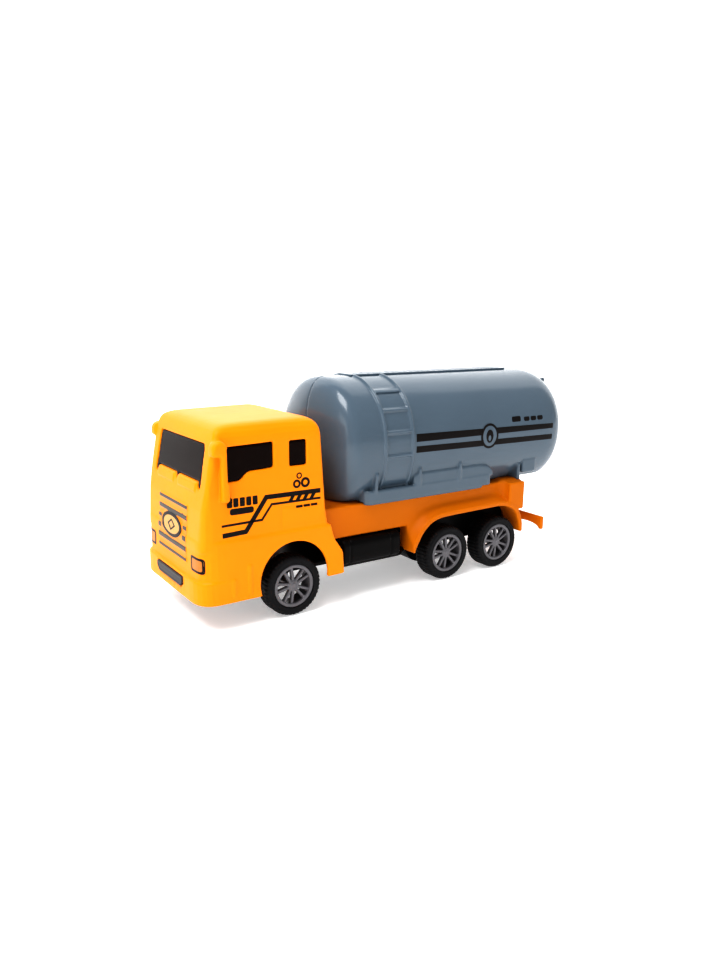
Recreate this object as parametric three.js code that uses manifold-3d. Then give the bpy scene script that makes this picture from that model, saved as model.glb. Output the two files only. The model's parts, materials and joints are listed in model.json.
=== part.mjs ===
// A push-along toy tanker truck in moulded plastic, with a friction motor on its middle axle.
// Millimetres, +Z up. The truck faces -Y, its left-hand side is +X, and it stands on Z = 0.
// Inside this file Y is measured from the front axle; the exported group is then moved so
// that its origin is the middle of the footprint.
import * as THREE from "three";
import { mergeVertices } from "three/addons/utils/BufferGeometryUtils.js";
import Module from "manifold-3d";

const wasm = await Module();
wasm.setup();

// ---- Driving dimensions ---------------------------------------------------------------

const SIDES = { left: 1, right: -1 };
const GAP = 0.3; // left between pieces that touch
const WALL = 1.6; // moulded wall of the cab and the deck
const REACH = 60; // longer than any wall that a cutting tool has to pass

const WHEEL_RADIUS = 11;
const TYRE_WIDTH = 8;
const TYRE_OUTER_X = 26.5;
const TYRE_INNER_X = TYRE_OUTER_X - TYRE_WIDTH;
const RIM_RADIUS = 7.9;
const RIM_WALL = 1.1;
const RIM_DEPTH = 6.6;
const RIM_INSET = 0.4; // rim edge behind the tyre's outer face
const SPOKE_PAIRS = 5;
const SPOKE_SPREAD = THREE.MathUtils.degToRad(14);
const SPOKE_WIDTH = 1.15;
const SPOKE_DEPTH = 1.8;
const SPOKE_INSET = 0.6; // spoke face behind the rim's edge
const BOSS_RADIUS = 1.9;
const BOSS_INSET = 0.3;
const BOSS_STANDOFF = 0.7; // between the boss and the bearing
const TYRE_SHOULDER = 0.9;
const WHEEL_SIDES = 24;

const AXLE_RADIUS = 1;
const AXLE_HALF_LENGTH = 24.4;
const RUNNING_CLEARANCE = 0.08;
const FITTED_CLEARANCE = 0.03;
const ROUND_SIDES = 12;
const AXLE_Y = { front: 0, middle: 71.2, rear: 98.9 };

const CAB_HALF_WIDTH = 26.2;
const CAB_SKIRT_HALF_WIDTH = 26.7;
const CAB_BOTTOM = 9.8;
const BELT_Z = 31.7;
const ROOF_Z = 70.9;
const ROOF_ROUNDING = 5;
const MIRROR = { outerX: 28.4, width: 2.6, rootDepth: 2.4, footInset: 0.5 };
const GLAZING_BAND = { rear: 7, bottom: 47, top: 65.5 };
const BUMPER_FRONT_Y = -35.6;
const BUMPER_TOP = 18;
const ARCH = { y: 0.4, z: 13.9, radius: 13.6, innerX: 16.2 };

const PLATE_THICKNESS = 1.2;
const PLATE_PROUD = 0.5;

const BASE_BOTTOM = 12.5;
const BASE_TOP = 14.5;
const BASE = { front: -31, waistFront: -15.2, waistRear: 21.8, wideRear: 50, taperRear: 55 };
const BASE_HALF_WIDTH = 22.5;
const BASE_REAR_Y = 110.8;
const BASE_WALL = { innerX: 14.9, outerX: 16.1, front: 47, top: 24 }; // behind the rear wheels
const MOTOR_ROOM = { ahead: 10, behind: 24 }; // from the middle axle
const SIDE_TANK = { innerX: 14.5, outerX: 24.4, bottom: 13.8, top: 23.4, front: 22.2, rear: 48.8 };
const BEARING = { inner: 11.4, outer: 15.6, halfLength: 3.6, bottom: 7.4 };

const DECK_TOP = 36;
const DECK_THICKNESS = 2;
const DECK_HALF_WIDTH = 22;
const DECK_WALL_BOTTOM = 24;
const DECK_FRONT_Y = 14.4;
const DECK_REAR_Y = 113.2;
const DECK_CORNER_Y = 104; // the sides reach full width behind this
const FENDER_HALF_WIDTH = 26.7;
const FENDER_INNER_X = 16.8;
const FENDER_WALL = 1.3;
const REAR_SILL = 15.2; // the lower edge of the deck's rear wall
const REAR_BAR = { y: 126.5, thickness: 1.8, bottom: 12.7, top: 18.4 };
const REAR_ARM = { innerX: 8, outerX: 12, bottom: 15.2, top: 18.2 };
const REAR_ARCH = { x: 18.2, radius: 7, flattening: 0.42 };

const TANK = { frontY: 20.3, rearY: 142, halfWidth: 26.2, halfHeight: 25.7, centreZ: 56.2 };
const TANK_WALL = 1.5;
const DOME = { frontDepth: 9.7, rearDepth: 17.6, exponent: 2.6, steps: 4 };
const TANK_SIDES = 32;
const STEP = { front: 31.2, rear: 95, innerX: 12, outerX: 25.2, top: 41 };
const STEP_EDGE = { rear: 90, bottom: 35.2 }; // it hangs over the deck's side
const LADDER = { rails: [39.2, 51.9], width: 1.3, proud: 0.8, rungs: [53.5, 62.5, 70.2, 76.5] };
const GUSSETS = { y: [36, 56.5, 77], thickness: 1.2, innerX: 21, top: 47.6 };
const FIN = { innerX: 14, outerX: 24.2, front: 111, rear: 112.6, top: 43.6 };
const CABINET = { innerX: 14, outerX: 24.4, front: 113.6, rear: 121.5, bottom: 39.2, top: 45 };
const LUG = { innerX: 8.6, outerX: 11.6, front: 133, rear: 138.2, bottom: 75.2, top: 78 };
const WALKWAY = { halfWidth: 4.2, front: 38, rear: 120, seat: 81.5, top: 82.4 };

const SCREW = { head: 2.1, headHeight: 1.3, shank: 0.95, length: 9, hole: 1.25, pilot: 1.02, sides: 8 };
const POST_RADIUS = 2.6;
const POST_X = 10;
const CAB_POST_Y = -20;
const CAB_POST_TOP = 69;
const TANK_POST_TOP = 48;
const POST_WEB = { thickness: 1.6, outerX: 22, top: 44 };
const DECK_POSTS_Y = [52, 107.2];
const TANK_POSTS_Y = [32, 101.5];

// Friction motor: drive gear on the middle axle, idler on a pin, pinion on the flywheel.
// Spans run across the truck.
const DRIVE_GEAR = { teeth: 22, module: 0.55, span: [1.2, 4] };
const DRIVE_COLLAR = { radius: 2.2, span: [0.4, 6.5] };
const IDLER_PINION = { teeth: 10, module: 0.55, span: [-0.4, 4.6] };
const IDLER_GEAR = { teeth: 28, module: 0.5, span: [-2.4, -0.2] };
const FLYWHEEL_PINION = { teeth: 10, module: 0.5, span: [-3, 0.6] };
const IDLER_DIRECTION = THREE.MathUtils.degToRad(65);
const FLYWHEEL_DIRECTION = THREE.MathUtils.degToRad(25);
const FLYWHEEL = { radius: 8.2, span: [-7.4, -3.6] };
const MOTOR_HALF_WIDTH = 9;
const MOTOR_WALL = 1.2;
const MOTOR_RADII = { drive: 8.2, idler: 9.4, flywheel: 10 };
const PIN_RADIUS = 0.8;

const MATERIALS = {
  orange: new THREE.MeshStandardMaterial({ color: 0xf59a08, roughness: 0.35, metalness: 0 }),
  black: new THREE.MeshStandardMaterial({ color: 0x17171a, roughness: 0.45, metalness: 0 }),
  glazing: new THREE.MeshStandardMaterial({ color: 0x120b0a, roughness: 0.12, metalness: 0 }),
  plate: new THREE.MeshStandardMaterial({ color: 0x37363a, roughness: 0.6, metalness: 0 }),
  grey: new THREE.MeshStandardMaterial({ color: 0x6c7d8c, roughness: 0.22, metalness: 0 }),
  tyre: new THREE.MeshStandardMaterial({ color: 0x141416, roughness: 0.7, metalness: 0 }),
  silver: new THREE.MeshStandardMaterial({ color: 0x9c999e, roughness: 0.4, metalness: 0.3 }),
  steel: new THREE.MeshStandardMaterial({ color: 0xb4b4b8, roughness: 0.3, metalness: 1 }),
  white: new THREE.MeshStandardMaterial({ color: 0xe8e6e0, roughness: 0.5, metalness: 0 }),
};

// ---- Solids -----------------------------------------------------------------------------

const MERGE_DISTANCE = 1e-4;
const SLIVER = 0.004; // edges shorter than this are closed up after the cuts
const GRID = 1 / 1024; // vertices sit on a fine grid, so that flush faces are exactly flush
const X_AXIS = new THREE.Vector3(1, 0, 0);
const Y_AXIS = new THREE.Vector3(0, 1, 0);
const Z_AXIS = new THREE.Vector3(0, 0, 1);
// An outline's (u, v) and its depth as (y, z) along x, and as (x, z) along -y.
const ALONG_X = new THREE.Matrix4().makeBasis(Y_AXIS, Z_AXIS, X_AXIS);
const ALONG_Y = new THREE.Matrix4().makeBasis(X_AXIS, Z_AXIS, Y_AXIS.clone().negate());

function solid(geometry) {
  const bare = geometry.clone();
  bare.deleteAttribute("normal");
  bare.deleteAttribute("uv");
  const merged = mergeVertices(bare, MERGE_DISTANCE);
  return new wasm.Manifold(
    new wasm.Mesh({
      numProp: 3,
      vertProperties: merged.attributes.position.array.map((c) => GRID * Math.round(c / GRID)),
      triVerts: new Uint32Array(merged.index.array),
    }),
  );
}

function geometryOf(body) {
  const mesh = body.simplify(SLIVER).getMesh();
  return new THREE.BufferGeometry()
    .setAttribute("position", new THREE.BufferAttribute(mesh.vertProperties, 3))
    .setIndex(new THREE.BufferAttribute(mesh.triVerts, 1));
}

const join = (...bodies) => bodies.reduce((sum, body) => sum.add(body));
const cut = (body, ...tools) => tools.reduce((rest, tool) => rest.subtract(tool), body);
const common = (...bodies) => bodies.reduce((shared, body) => shared.intersect(body));

// A closed outline from points [u, v] or [u, v, radius], rounded where a radius is given.
// A rounding ends before the middle of a short edge.
function outline(points) {
  const shape = new THREE.Shape();
  const at = (i) => new THREE.Vector2(...points[(i + points.length) % points.length]);
  points.forEach(([u, v, radius = 0], i) => {
    const towards = (neighbour) => {
      const edge = neighbour.sub(new THREE.Vector2(u, v));
      edge.setLength(Math.min(radius, 0.48 * edge.length()));
      return [u + edge.x, v + edge.y];
    };
    const start = towards(at(i - 1));
    if (i) shape.lineTo(...start);
    else shape.moveTo(...start);
    if (radius) shape.quadraticCurveTo(u, v, ...towards(at(i + 1)));
  });
  return shape;
}

function extruded(shape, depth, options = {}) {
  const settings = { depth, bevelEnabled: false, curveSegments: 2, ...options };
  return new THREE.ExtrudeGeometry(shape, settings);
}

// Outlines may run either way round: ExtrudeGeometry turns them.
function prismX(points, [a, b]) {
  const [low, high] = [Math.min(a, b), Math.max(a, b)];
  const geometry = extruded(outline(points), high - low).applyMatrix4(ALONG_X);
  return solid(geometry.translate(low, 0, 0));
}

function prismY(points, [low, high]) {
  const geometry = extruded(outline(points), high - low).applyMatrix4(ALONG_Y);
  return solid(geometry.translate(0, high, 0));
}

function prismZ(points, [low, high]) {
  return solid(extruded(outline(points), high - low).translate(0, 0, low));
}

function box([x0, x1], [y0, y1], [z0, z1]) {
  const geometry = new THREE.BoxGeometry(Math.abs(x1 - x0), y1 - y0, z1 - z0);
  return solid(geometry.translate((x0 + x1) / 2, (y0 + y1) / 2, (z0 + z1) / 2));
}

function rodX(radius, [x0, x1], y, z, sides = ROUND_SIDES) {
  const geometry = new THREE.CylinderGeometry(radius, radius, Math.abs(x1 - x0), sides);
  return solid(geometry.rotateZ(Math.PI / 2).translate((x0 + x1) / 2, y, z));
}

function rodZ(radius, x, y, [z0, z1], sides = ROUND_SIDES) {
  const geometry = new THREE.CylinderGeometry(radius, radius, z1 - z0, sides);
  return solid(geometry.rotateX(Math.PI / 2).translate(x, y, (z0 + z1) / 2));
}

// Two numbers measured outward from the middle, taken to one side of the truck.
const outward = (side, inner, outer) => [side * inner, side * outer];

// A post with a pilot hole for a screw driven in from below.
function post(x, y, bottom, top) {
  return rodZ(POST_RADIUS, x, y, [bottom, top], ROUND_SIDES);
}

function pilotHole(x, y, bottom) {
  return rodZ(SCREW.pilot, x, y, [bottom - GAP, bottom + SCREW.length], ROUND_SIDES);
}

// ---- Cab --------------------------------------------------------------------------------

// The cab above its belt, as a solid block, shrunk by inset on every face but the bottom.
function cabUpper(inset) {
  const profile = [
    [-34 + inset, BELT_Z - 2],
    [-33.1 + inset, 42],
    [-29 + inset, 64.2],
    [-26.8 + inset, 69.4 - inset, 6],
    [11 - inset, ROOF_Z - inset, 5.5],
    [13.2 - inset, 38],
    [14.6 - inset, BELT_Z - 2],
  ];
  const halfWidth = CAB_HALF_WIDTH - inset;
  const plan = [
    [-halfWidth, -36 + inset, 7],
    [halfWidth, -36 + inset, 7],
    [halfWidth, 15 - inset, 1.5],
    [-halfWidth, 15 - inset, 1.5],
  ];
  const section = [
    [-halfWidth, BELT_Z - 1],
    [halfWidth, BELT_Z - 1],
    [halfWidth - 0.8, ROOF_Z - inset, ROOF_ROUNDING],
    [-halfWidth + 0.8, ROOF_Z - inset, ROOF_ROUNDING],
  ];
  return common(
    prismX(profile, [-REACH, REACH]),
    prismZ(plan, [BELT_Z - 1, 2 * REACH]),
    prismY(section, [-REACH, REACH]),
  );
}

// The cab below its belt, with the mudguard tails behind the front wheels.
function cabLower(inset) {
  const profile = [
    [-34.6 + inset, CAB_BOTTOM - inset],
    [-34.2 + inset, BELT_Z - inset, 1],
    [15.2 - inset, BELT_Z - inset],
    [16.8 - inset, 26],
    [20.6 - inset, 20.6],
    [21.1 - inset, 12.5],
    [13.8, CAB_BOTTOM + 2.2 - inset],
    [-13, CAB_BOTTOM - inset],
  ];
  const halfWidth = CAB_SKIRT_HALF_WIDTH - inset;
  const plan = [
    [-halfWidth, -35 + inset, 8],
    [halfWidth, -35 + inset, 8],
    [halfWidth, 22 - inset],
    [-halfWidth, 22 - inset],
  ];
  return common(prismX(profile, [-REACH, REACH]), prismZ(plan, [0, BELT_Z]));
}

function bumper() {
  const halfWidth = CAB_SKIRT_HALF_WIDTH;
  const plan = [
    [-halfWidth, BUMPER_FRONT_Y, 8],
    [halfWidth, BUMPER_FRONT_Y, 8],
    [halfWidth, -24],
    [-halfWidth, -24],
  ];
  return prismZ(plan, [CAB_BOTTOM, BUMPER_TOP]);
}

// Window openings, shrunk by inset. The windscreen has two legs and a notch along its sill.
function windscreen(inset) {
  const half = 19.6;
  const leg = 48.7 + inset;
  const sill = 50.9 + inset;
  const head = 63.6 - inset;
  const points = [
    [-half + inset, head, 1.2],
    [-half - 0.6 + inset, leg],
    [-half + 1.6 - inset, leg],
    [-half + 1.9 - inset, sill],
    [-1.3 + inset, sill],
    [-0.1, 48.9 + inset],
    [1.2 - inset, sill],
    [half - 1.9 + inset, sill],
    [half - 1.6 + inset, leg],
    [half + 0.6 - inset, leg],
    [half - inset, head, 1.2],
  ];
  return prismY(points, [-REACH, CAB_POST_Y - POST_RADIUS]);
}

function sideWindow(inset) {
  const points = [
    [-25.4 + inset, 63 - inset, 0.8],
    [-7.3 - inset, 63.3 - inset, 0.8],
    [-7.3 - inset, 54.6 + inset, 0.8],
    [-17 - inset, 54.2 + inset],
    [-19.7 - inset, 51.4 + inset],
    [-25.2 + inset, 51.3 + inset, 0.8],
  ];
  return prismX(points, [-REACH, REACH]);
}

function quarterWindow(inset) {
  const points = [
    [-1.1 + inset, 63.2 - inset, 0.8],
    [5.6 - inset, 63.2 - inset, 0.8],
    [5.6 - inset, 54.3 + inset, 0.8],
    [-1.1 + inset, 54.3 + inset, 0.8],
  ];
  return prismX(points, [-REACH, REACH]);
}

const windowOpenings = (inset) => join(windscreen(inset), sideWindow(inset), quarterWindow(inset));

// A wing mirror: an arm arched out from the windscreen pillar, and a bar that hangs from it
// down to a foot on the cab's side.
function mirror(side) {
  const { outerX, width, rootDepth, footInset } = MIRROR;
  const root = CAB_HALF_WIDTH - rootDepth;
  const armProfile = [
    [-30.3, 60.4, 1.5],
    [-24.5, 60.4, 1],
    [-24.8, 63.6, 2],
    [-27.1, 65.8, 1.5],
    [-30.1, 64.6, 2],
  ];
  const arm = prismX(armProfile, outward(side, root, outerX));
  const bar = box(outward(side, outerX - width, outerX), [-27.3, -24.5], [45.2, 61]);
  const foot = box(outward(side, root, outerX - footInset), [-27, -24.8], [45.5, 47.2]);
  return join(arm, bar, foot);
}

function bumperPlate(inset) {
  const points = [
    [-11.7 + inset, 16.9 - inset],
    [-11.7 + inset, 14.9],
    [-9.9 + inset, 13.3 + inset],
    [9.9 - inset, 13.3 + inset],
    [11.7 - inset, 14.9],
    [11.7 - inset, 16.9 - inset],
  ];
  const front = BUMPER_FRONT_Y - PLATE_PROUD;
  return prismY(points, [front, front + PLATE_THICKNESS]);
}

// A front wheel's arch, cut through the cab's side into the hollow behind it.
function wheelArch(side) {
  return rodX(ARCH.radius, outward(side, ARCH.innerX, REACH), ARCH.y, ARCH.z, WHEEL_SIDES);
}

function cabShell() {
  const outer = join(cabUpper(0), cabLower(0), bumper());
  const lowerRoom = box([-REACH, REACH], [-REACH, REACH], [-REACH, 0]);
  const hollow = join(cabUpper(WALL), cabLower(WALL), lowerRoom);
  const deckRoom = box(
    outward(1, -DECK_HALF_WIDTH - GAP, DECK_HALF_WIDTH + GAP),
    [DECK_FRONT_Y - GAP, REACH],
    [0, DECK_TOP + GAP],
  );
  const plateRoom = bumperPlate(-GAP).translate([0, GAP, 0]);
  const arches = Object.values(SIDES).map(wheelArch);
  const shell = cut(outer, hollow, deckRoom, ...arches);
  const mirrors = Object.values(SIDES).map(mirror);
  const posts = Object.values(SIDES).map((side) =>
    post(side * POST_X, CAB_POST_Y, BASE_TOP + GAP, CAB_POST_TOP),
  );
  const holes = Object.values(SIDES).map((side) =>
    pilotHole(side * POST_X, CAB_POST_Y, BASE_TOP),
  );
  const outside = cut(join(shell, ...mirrors), cabUpper(WALL));
  return cut(join(outside, ...posts), windowOpenings(0), plateRoom, ...holes);
}

// One moulding behind all the cab's openings: a band round three walls, with raised panes.
function glazing() {
  const { rear, bottom, top } = GLAZING_BAND;
  const band = common(cabUpper(WALL + GAP), box([-REACH, REACH], [-REACH, rear], [bottom, top]));
  const panes = common(windowOpenings(GAP), cabUpper(PLATE_PROUD));
  return cut(join(band, panes), cabUpper(2 * WALL + GAP));
}

// ---- Base plate and deck ------------------------------------------------------------------

function basePlate() {
  const narrow = BEARING.outer + GAP;
  const wide = BASE_HALF_WIDTH;
  const rightSide = [
    [wide, BASE.front, 4],
    [wide, BASE.waistFront],
    [narrow, BASE.waistFront],
    [narrow, BASE.waistRear],
    [wide, BASE.waistRear],
    [wide, BASE.wideRear],
    [narrow, BASE.taperRear],
    [narrow, BASE_REAR_Y],
  ];
  const leftSide = rightSide.map(([x, ...rest]) => [-x, ...rest]).reverse();
  const plate = prismZ([...rightSide, ...leftSide], [BASE_BOTTOM, BASE_TOP]);
  const bearings = Object.values(AXLE_Y).flatMap((y) =>
    Object.values(SIDES).map((side) =>
      box(
        outward(side, BEARING.inner, BEARING.outer),
        [y - BEARING.halfLength, y + BEARING.halfLength],
        [BEARING.bottom, BASE_TOP],
      ),
    ),
  );
  const axleHoles = Object.values(AXLE_Y).map((y) =>
    rodX(AXLE_RADIUS + RUNNING_CLEARANCE, [-REACH, REACH], y, WHEEL_RADIUS),
  );
  const tanks = Object.values(SIDES).map(sideTank);
  const walls = Object.values(SIDES).map((side) =>
    box(
      outward(side, BASE_WALL.innerX, BASE_WALL.outerX),
      [BASE_WALL.front, BASE_REAR_Y],
      [BASE_BOTTOM, BASE_WALL.top],
    ),
  );
  const motorRoom = box(
    outward(1, -MOTOR_HALF_WIDTH - GAP, MOTOR_HALF_WIDTH + GAP),
    [AXLE_Y.middle - MOTOR_ROOM.ahead, AXLE_Y.middle + MOTOR_ROOM.behind],
    [0, REACH],
  );
  const holes = [CAB_POST_Y, ...DECK_POSTS_Y].flatMap((y) =>
    Object.values(SIDES).map((side) =>
      rodZ(SCREW.hole, side * POST_X, y, [0, REACH]),
    ),
  );
  const moulding = join(plate, ...bearings, ...tanks, ...walls);
  return cut(moulding, motorRoom, ...axleHoles, ...holes);
}

// A dummy fuel tank moulded on the edge of the base plate.
function sideTank(side) {
  const { innerX, outerX, bottom, top, front, rear } = SIDE_TANK;
  const section = [
    [side * innerX, bottom],
    [side * outerX, bottom, 1.5],
    [side * outerX, top, 2.6],
    [side * innerX, top],
  ];
  return prismY(section, [front, rear]);
}

const FENDER_OUTLINE = [
  [53.4, 15.2],
  [57.2, 21.8, 1.5],
  [62.2, 26.6, 2],
  [67.4, 27.9, 2],
  [102.4, 28.1, 2],
  [109, 25.6, 2.5],
  [112.4, 20, 2],
  [DECK_REAR_Y, 13.8],
];

// The room for the rear wheels under the fenders.
const WHEEL_ROOM_OUTLINE = [
  [53.4 + FENDER_WALL, 0],
  [53.4 + FENDER_WALL, 15.2],
  [58.3, 21.2, 1.5],
  [63, 25.5, 2],
  [67.8, 26.6, 2],
  [101.6, 26.8, 2],
  [107.8, 24.6, 2.5],
  [111, 19.4, 2],
  [DECK_REAR_Y - FENDER_WALL, 13.8],
  [DECK_REAR_Y - FENDER_WALL, 0],
];

function deckSide(side) {
  const wall = box(
    outward(side, DECK_HALF_WIDTH - WALL, DECK_HALF_WIDTH),
    [DECK_FRONT_Y, DECK_REAR_Y],
    [DECK_WALL_BOTTOM, DECK_TOP],
  );
  const fender = prismX(FENDER_OUTLINE, outward(side, FENDER_INNER_X, FENDER_HALF_WIDTH));
  const corner = box(
    outward(side, DECK_HALF_WIDTH - 1, FENDER_HALF_WIDTH),
    [DECK_CORNER_Y, DECK_REAR_Y],
    [DECK_WALL_BOTTOM, DECK_TOP],
  );
  const room = prismX(WHEEL_ROOM_OUTLINE, outward(side, FENDER_INNER_X - 1, REACH));
  return cut(join(wall, fender, corner), room);
}

// The lamp bar that stands off behind the deck on two arms, with an arch under each end.
function rearBar() {
  const { y, thickness, bottom, top } = REAR_BAR;
  const bar = box([-FENDER_HALF_WIDTH, FENDER_HALF_WIDTH], [y - thickness, y], [bottom, top]);
  const arms = Object.values(SIDES).map((side) =>
    box(
      outward(side, REAR_ARM.innerX, REAR_ARM.outerX),
      [DECK_REAR_Y - WALL, y - thickness / 2],
      [REAR_ARM.bottom, REAR_ARM.top],
    ),
  );
  const arches = Object.values(SIDES).map((side) => {
    const { x, radius, flattening } = REAR_ARCH;
    const arch = new THREE.CylinderGeometry(radius, radius, REACH, ROUND_SIDES);
    return solid(arch.scale(1, 1, flattening).translate(side * x, y, bottom));
  });
  return join(cut(bar, ...arches), ...arms);
}

function deckFrame() {
  const slab = box(
    [-DECK_HALF_WIDTH, DECK_HALF_WIDTH],
    [DECK_FRONT_Y, DECK_REAR_Y],
    [DECK_TOP - DECK_THICKNESS, DECK_TOP],
  );
  const frontWall = box(
    [-DECK_HALF_WIDTH, DECK_HALF_WIDTH],
    [DECK_FRONT_Y, DECK_FRONT_Y + WALL],
    [DECK_WALL_BOTTOM, DECK_TOP],
  );
  const rearWall = box(
    [-DECK_HALF_WIDTH, DECK_HALF_WIDTH],
    [DECK_REAR_Y - WALL, DECK_REAR_Y],
    [REAR_SILL, DECK_TOP],
  );
  const sides = Object.values(SIDES).map(deckSide);
  const places = DECK_POSTS_Y.flatMap((y) =>
    Object.values(SIDES).map((side) => [side * POST_X, y]),
  );
  const posts = places.map(([x, y]) => post(x, y, BASE_TOP + GAP, DECK_TOP - 1));
  const pilots = places.map(([x, y]) => pilotHole(x, y, BASE_TOP));
  const holes = TANK_POSTS_Y.flatMap((y) =>
    Object.values(SIDES).map((side) => rodZ(SCREW.hole, side * POST_X, y, [0, REACH])),
  );
  return cut(
    join(slab, frontWall, rearWall, ...sides, rearBar(), ...posts),
    ...pilots,
    ...holes,
  );
}

// ---- Tank -----------------------------------------------------------------------------------

// The tank as one round body with domed ends, shrunk by inset.
function tankBody(inset) {
  const { frontDepth, rearDepth, exponent, steps } = DOME;
  const front = TANK.frontY + inset;
  const rear = TANK.rearY - inset;
  const dome = (t) => Math.pow(1 - Math.pow(t, exponent), 1 / exponent);
  const along = (i) => Math.sin((i / steps) * (Math.PI / 2));
  const points = [];
  for (let i = steps; i >= 0; i--) {
    const t = along(i);
    points.push(new THREE.Vector2(dome(t), front + frontDepth * (1 - t)));
  }
  for (let i = 0; i <= steps; i++) {
    const t = along(i);
    points.push(new THREE.Vector2(dome(t), rear - rearDepth * (1 - t)));
  }
  const geometry = new THREE.LatheGeometry(points, TANK_SIDES);
  geometry.scale(TANK.halfWidth - inset, 1, TANK.halfHeight - inset);
  return solid(geometry.translate(0, 0, TANK.centreZ));
}

// One half of a rail that wraps over the tank, raised a little from it.
function ladderRail(y) {
  const ring = common(
    tankBody(-LADDER.proud),
    box([-REACH, REACH], [y - LADDER.width / 2, y + LADDER.width / 2], [STEP.top - 1, 2 * REACH]),
  );
  return cut(ring, walkwayRoom());
}

// The flat that the walkway strip lies on.
function walkwayRoom() {
  const half = WALKWAY.halfWidth + GAP;
  return box([-half, half], [WALKWAY.front - GAP, WALKWAY.rear + GAP], [WALKWAY.seat, 2 * REACH]);
}

function ladderRung(side, z) {
  const [front, rear] = LADDER.rails;
  const rise = (z - TANK.centreZ) / TANK.halfHeight;
  const x = side * TANK.halfWidth * Math.sqrt(1 - rise * rise);
  const bar = new THREE.BoxGeometry(2 * LADDER.proud, rear - front, LADDER.width);
  bar.rotateY(-side * Math.asin(rise)).translate(x, (front + rear) / 2, z);
  return solid(bar);
}

// The running board low on the tank's side, with its gussets.
function runningBoard(side) {
  const { front, rear, innerX, outerX, top } = STEP;
  const plan = [
    [side * innerX, front],
    [side * outerX, front, 5],
    [side * outerX, rear, 3],
    [side * innerX, rear],
  ];
  const board = prismZ(plan, [DECK_TOP + GAP, top]);
  const beside = box(
    outward(side, DECK_HALF_WIDTH + GAP, REACH),
    [front, STEP_EDGE.rear],
    [STEP_EDGE.bottom, top],
  );
  const edge = common(prismZ(plan, [STEP_EDGE.bottom, top]), beside);
  const section = [
    [side * (GUSSETS.innerX - 2), top - 1],
    [side * outerX, top - 1],
    [side * (outerX + 0.6), GUSSETS.top],
    [side * GUSSETS.innerX, GUSSETS.top],
  ];
  const half = GUSSETS.thickness / 2;
  return join(board, edge, ...GUSSETS.y.map((y) => prismY(section, [y - half, y + half])));
}

// The fin and the small cabinet low on the tank's side, and the lug high on its rear dome.
function rearFittings(side) {
  const block = ({ innerX, outerX, front, rear, bottom, top }) =>
    box(outward(side, innerX, outerX), [front, rear], [bottom, top]);
  return join(block({ ...FIN, bottom: DECK_TOP + GAP }), block(CABINET), block(LUG));
}

function tankHalf(side) {
  const near = box(outward(side, GAP / 2, REACH), [0, 3 * REACH], [DECK_TOP + GAP, 2 * REACH]);
  const rails = LADDER.rails.map(ladderRail);
  const rungs = LADDER.rungs.map((z) => ladderRung(side, z));
  const outside = join(tankBody(0), ...rails, ...rungs, runningBoard(side), rearFittings(side));
  const shell = cut(outside, tankBody(TANK_WALL), walkwayRoom());
  const places = TANK_POSTS_Y.map((y) => [side * POST_X, y]);
  const posts = places.map(([x, y]) =>
    join(
      post(x, y, DECK_TOP + GAP, TANK_POST_TOP),
      box(
        [x, side * POST_WEB.outerX],
        [y - POST_WEB.thickness / 2, y + POST_WEB.thickness / 2],
        [DECK_TOP + GAP, POST_WEB.top],
      ),
    ),
  );
  const inner = common(join(...posts), tankBody(TANK_WALL / 2));
  const pilots = places.map(([x, y]) => pilotHole(x, y, DECK_TOP));
  return cut(common(join(shell, inner), near), ...pilots);
}

function walkway() {
  const { halfWidth, front, rear, seat, top } = WALKWAY;
  return box([-halfWidth, halfWidth], [front, rear], [seat + GAP, top]);
}

// ---- Wheels ---------------------------------------------------------------------------------

// A ring round the X axis from an outline of [radius, x] points, standing on a flat side.
function ringX(points, y, z) {
  const closed = [...points, points[0]].map(([radius, x]) => {
    return new THREE.Vector2(radius / Math.cos(Math.PI / WHEEL_SIDES), x);
  });
  const geometry = new THREE.LatheGeometry(closed, WHEEL_SIDES);
  geometry.rotateY(Math.PI / WHEEL_SIDES).rotateZ(-Math.PI / 2);
  return solid(geometry.translate(0, y, z));
}

function tyre(side, y) {
  const inner = RIM_RADIUS + FITTED_CLEARANCE;
  const points = [
    [inner, TYRE_INNER_X],
    [WHEEL_RADIUS - TYRE_SHOULDER, TYRE_INNER_X],
    [WHEEL_RADIUS, TYRE_INNER_X + TYRE_SHOULDER],
    [WHEEL_RADIUS, TYRE_OUTER_X - TYRE_SHOULDER],
    [WHEEL_RADIUS - TYRE_SHOULDER, TYRE_OUTER_X],
    [inner, TYRE_OUTER_X],
  ];
  return ringX(sided(points, side), y, WHEEL_RADIUS);
}

// An outline of [radius, x] points taken to one side, still running the same way round.
function sided(points, side) {
  const placed = points.map(([radius, x]) => [radius, side * x]);
  return side > 0 ? placed : placed.reverse();
}

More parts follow.
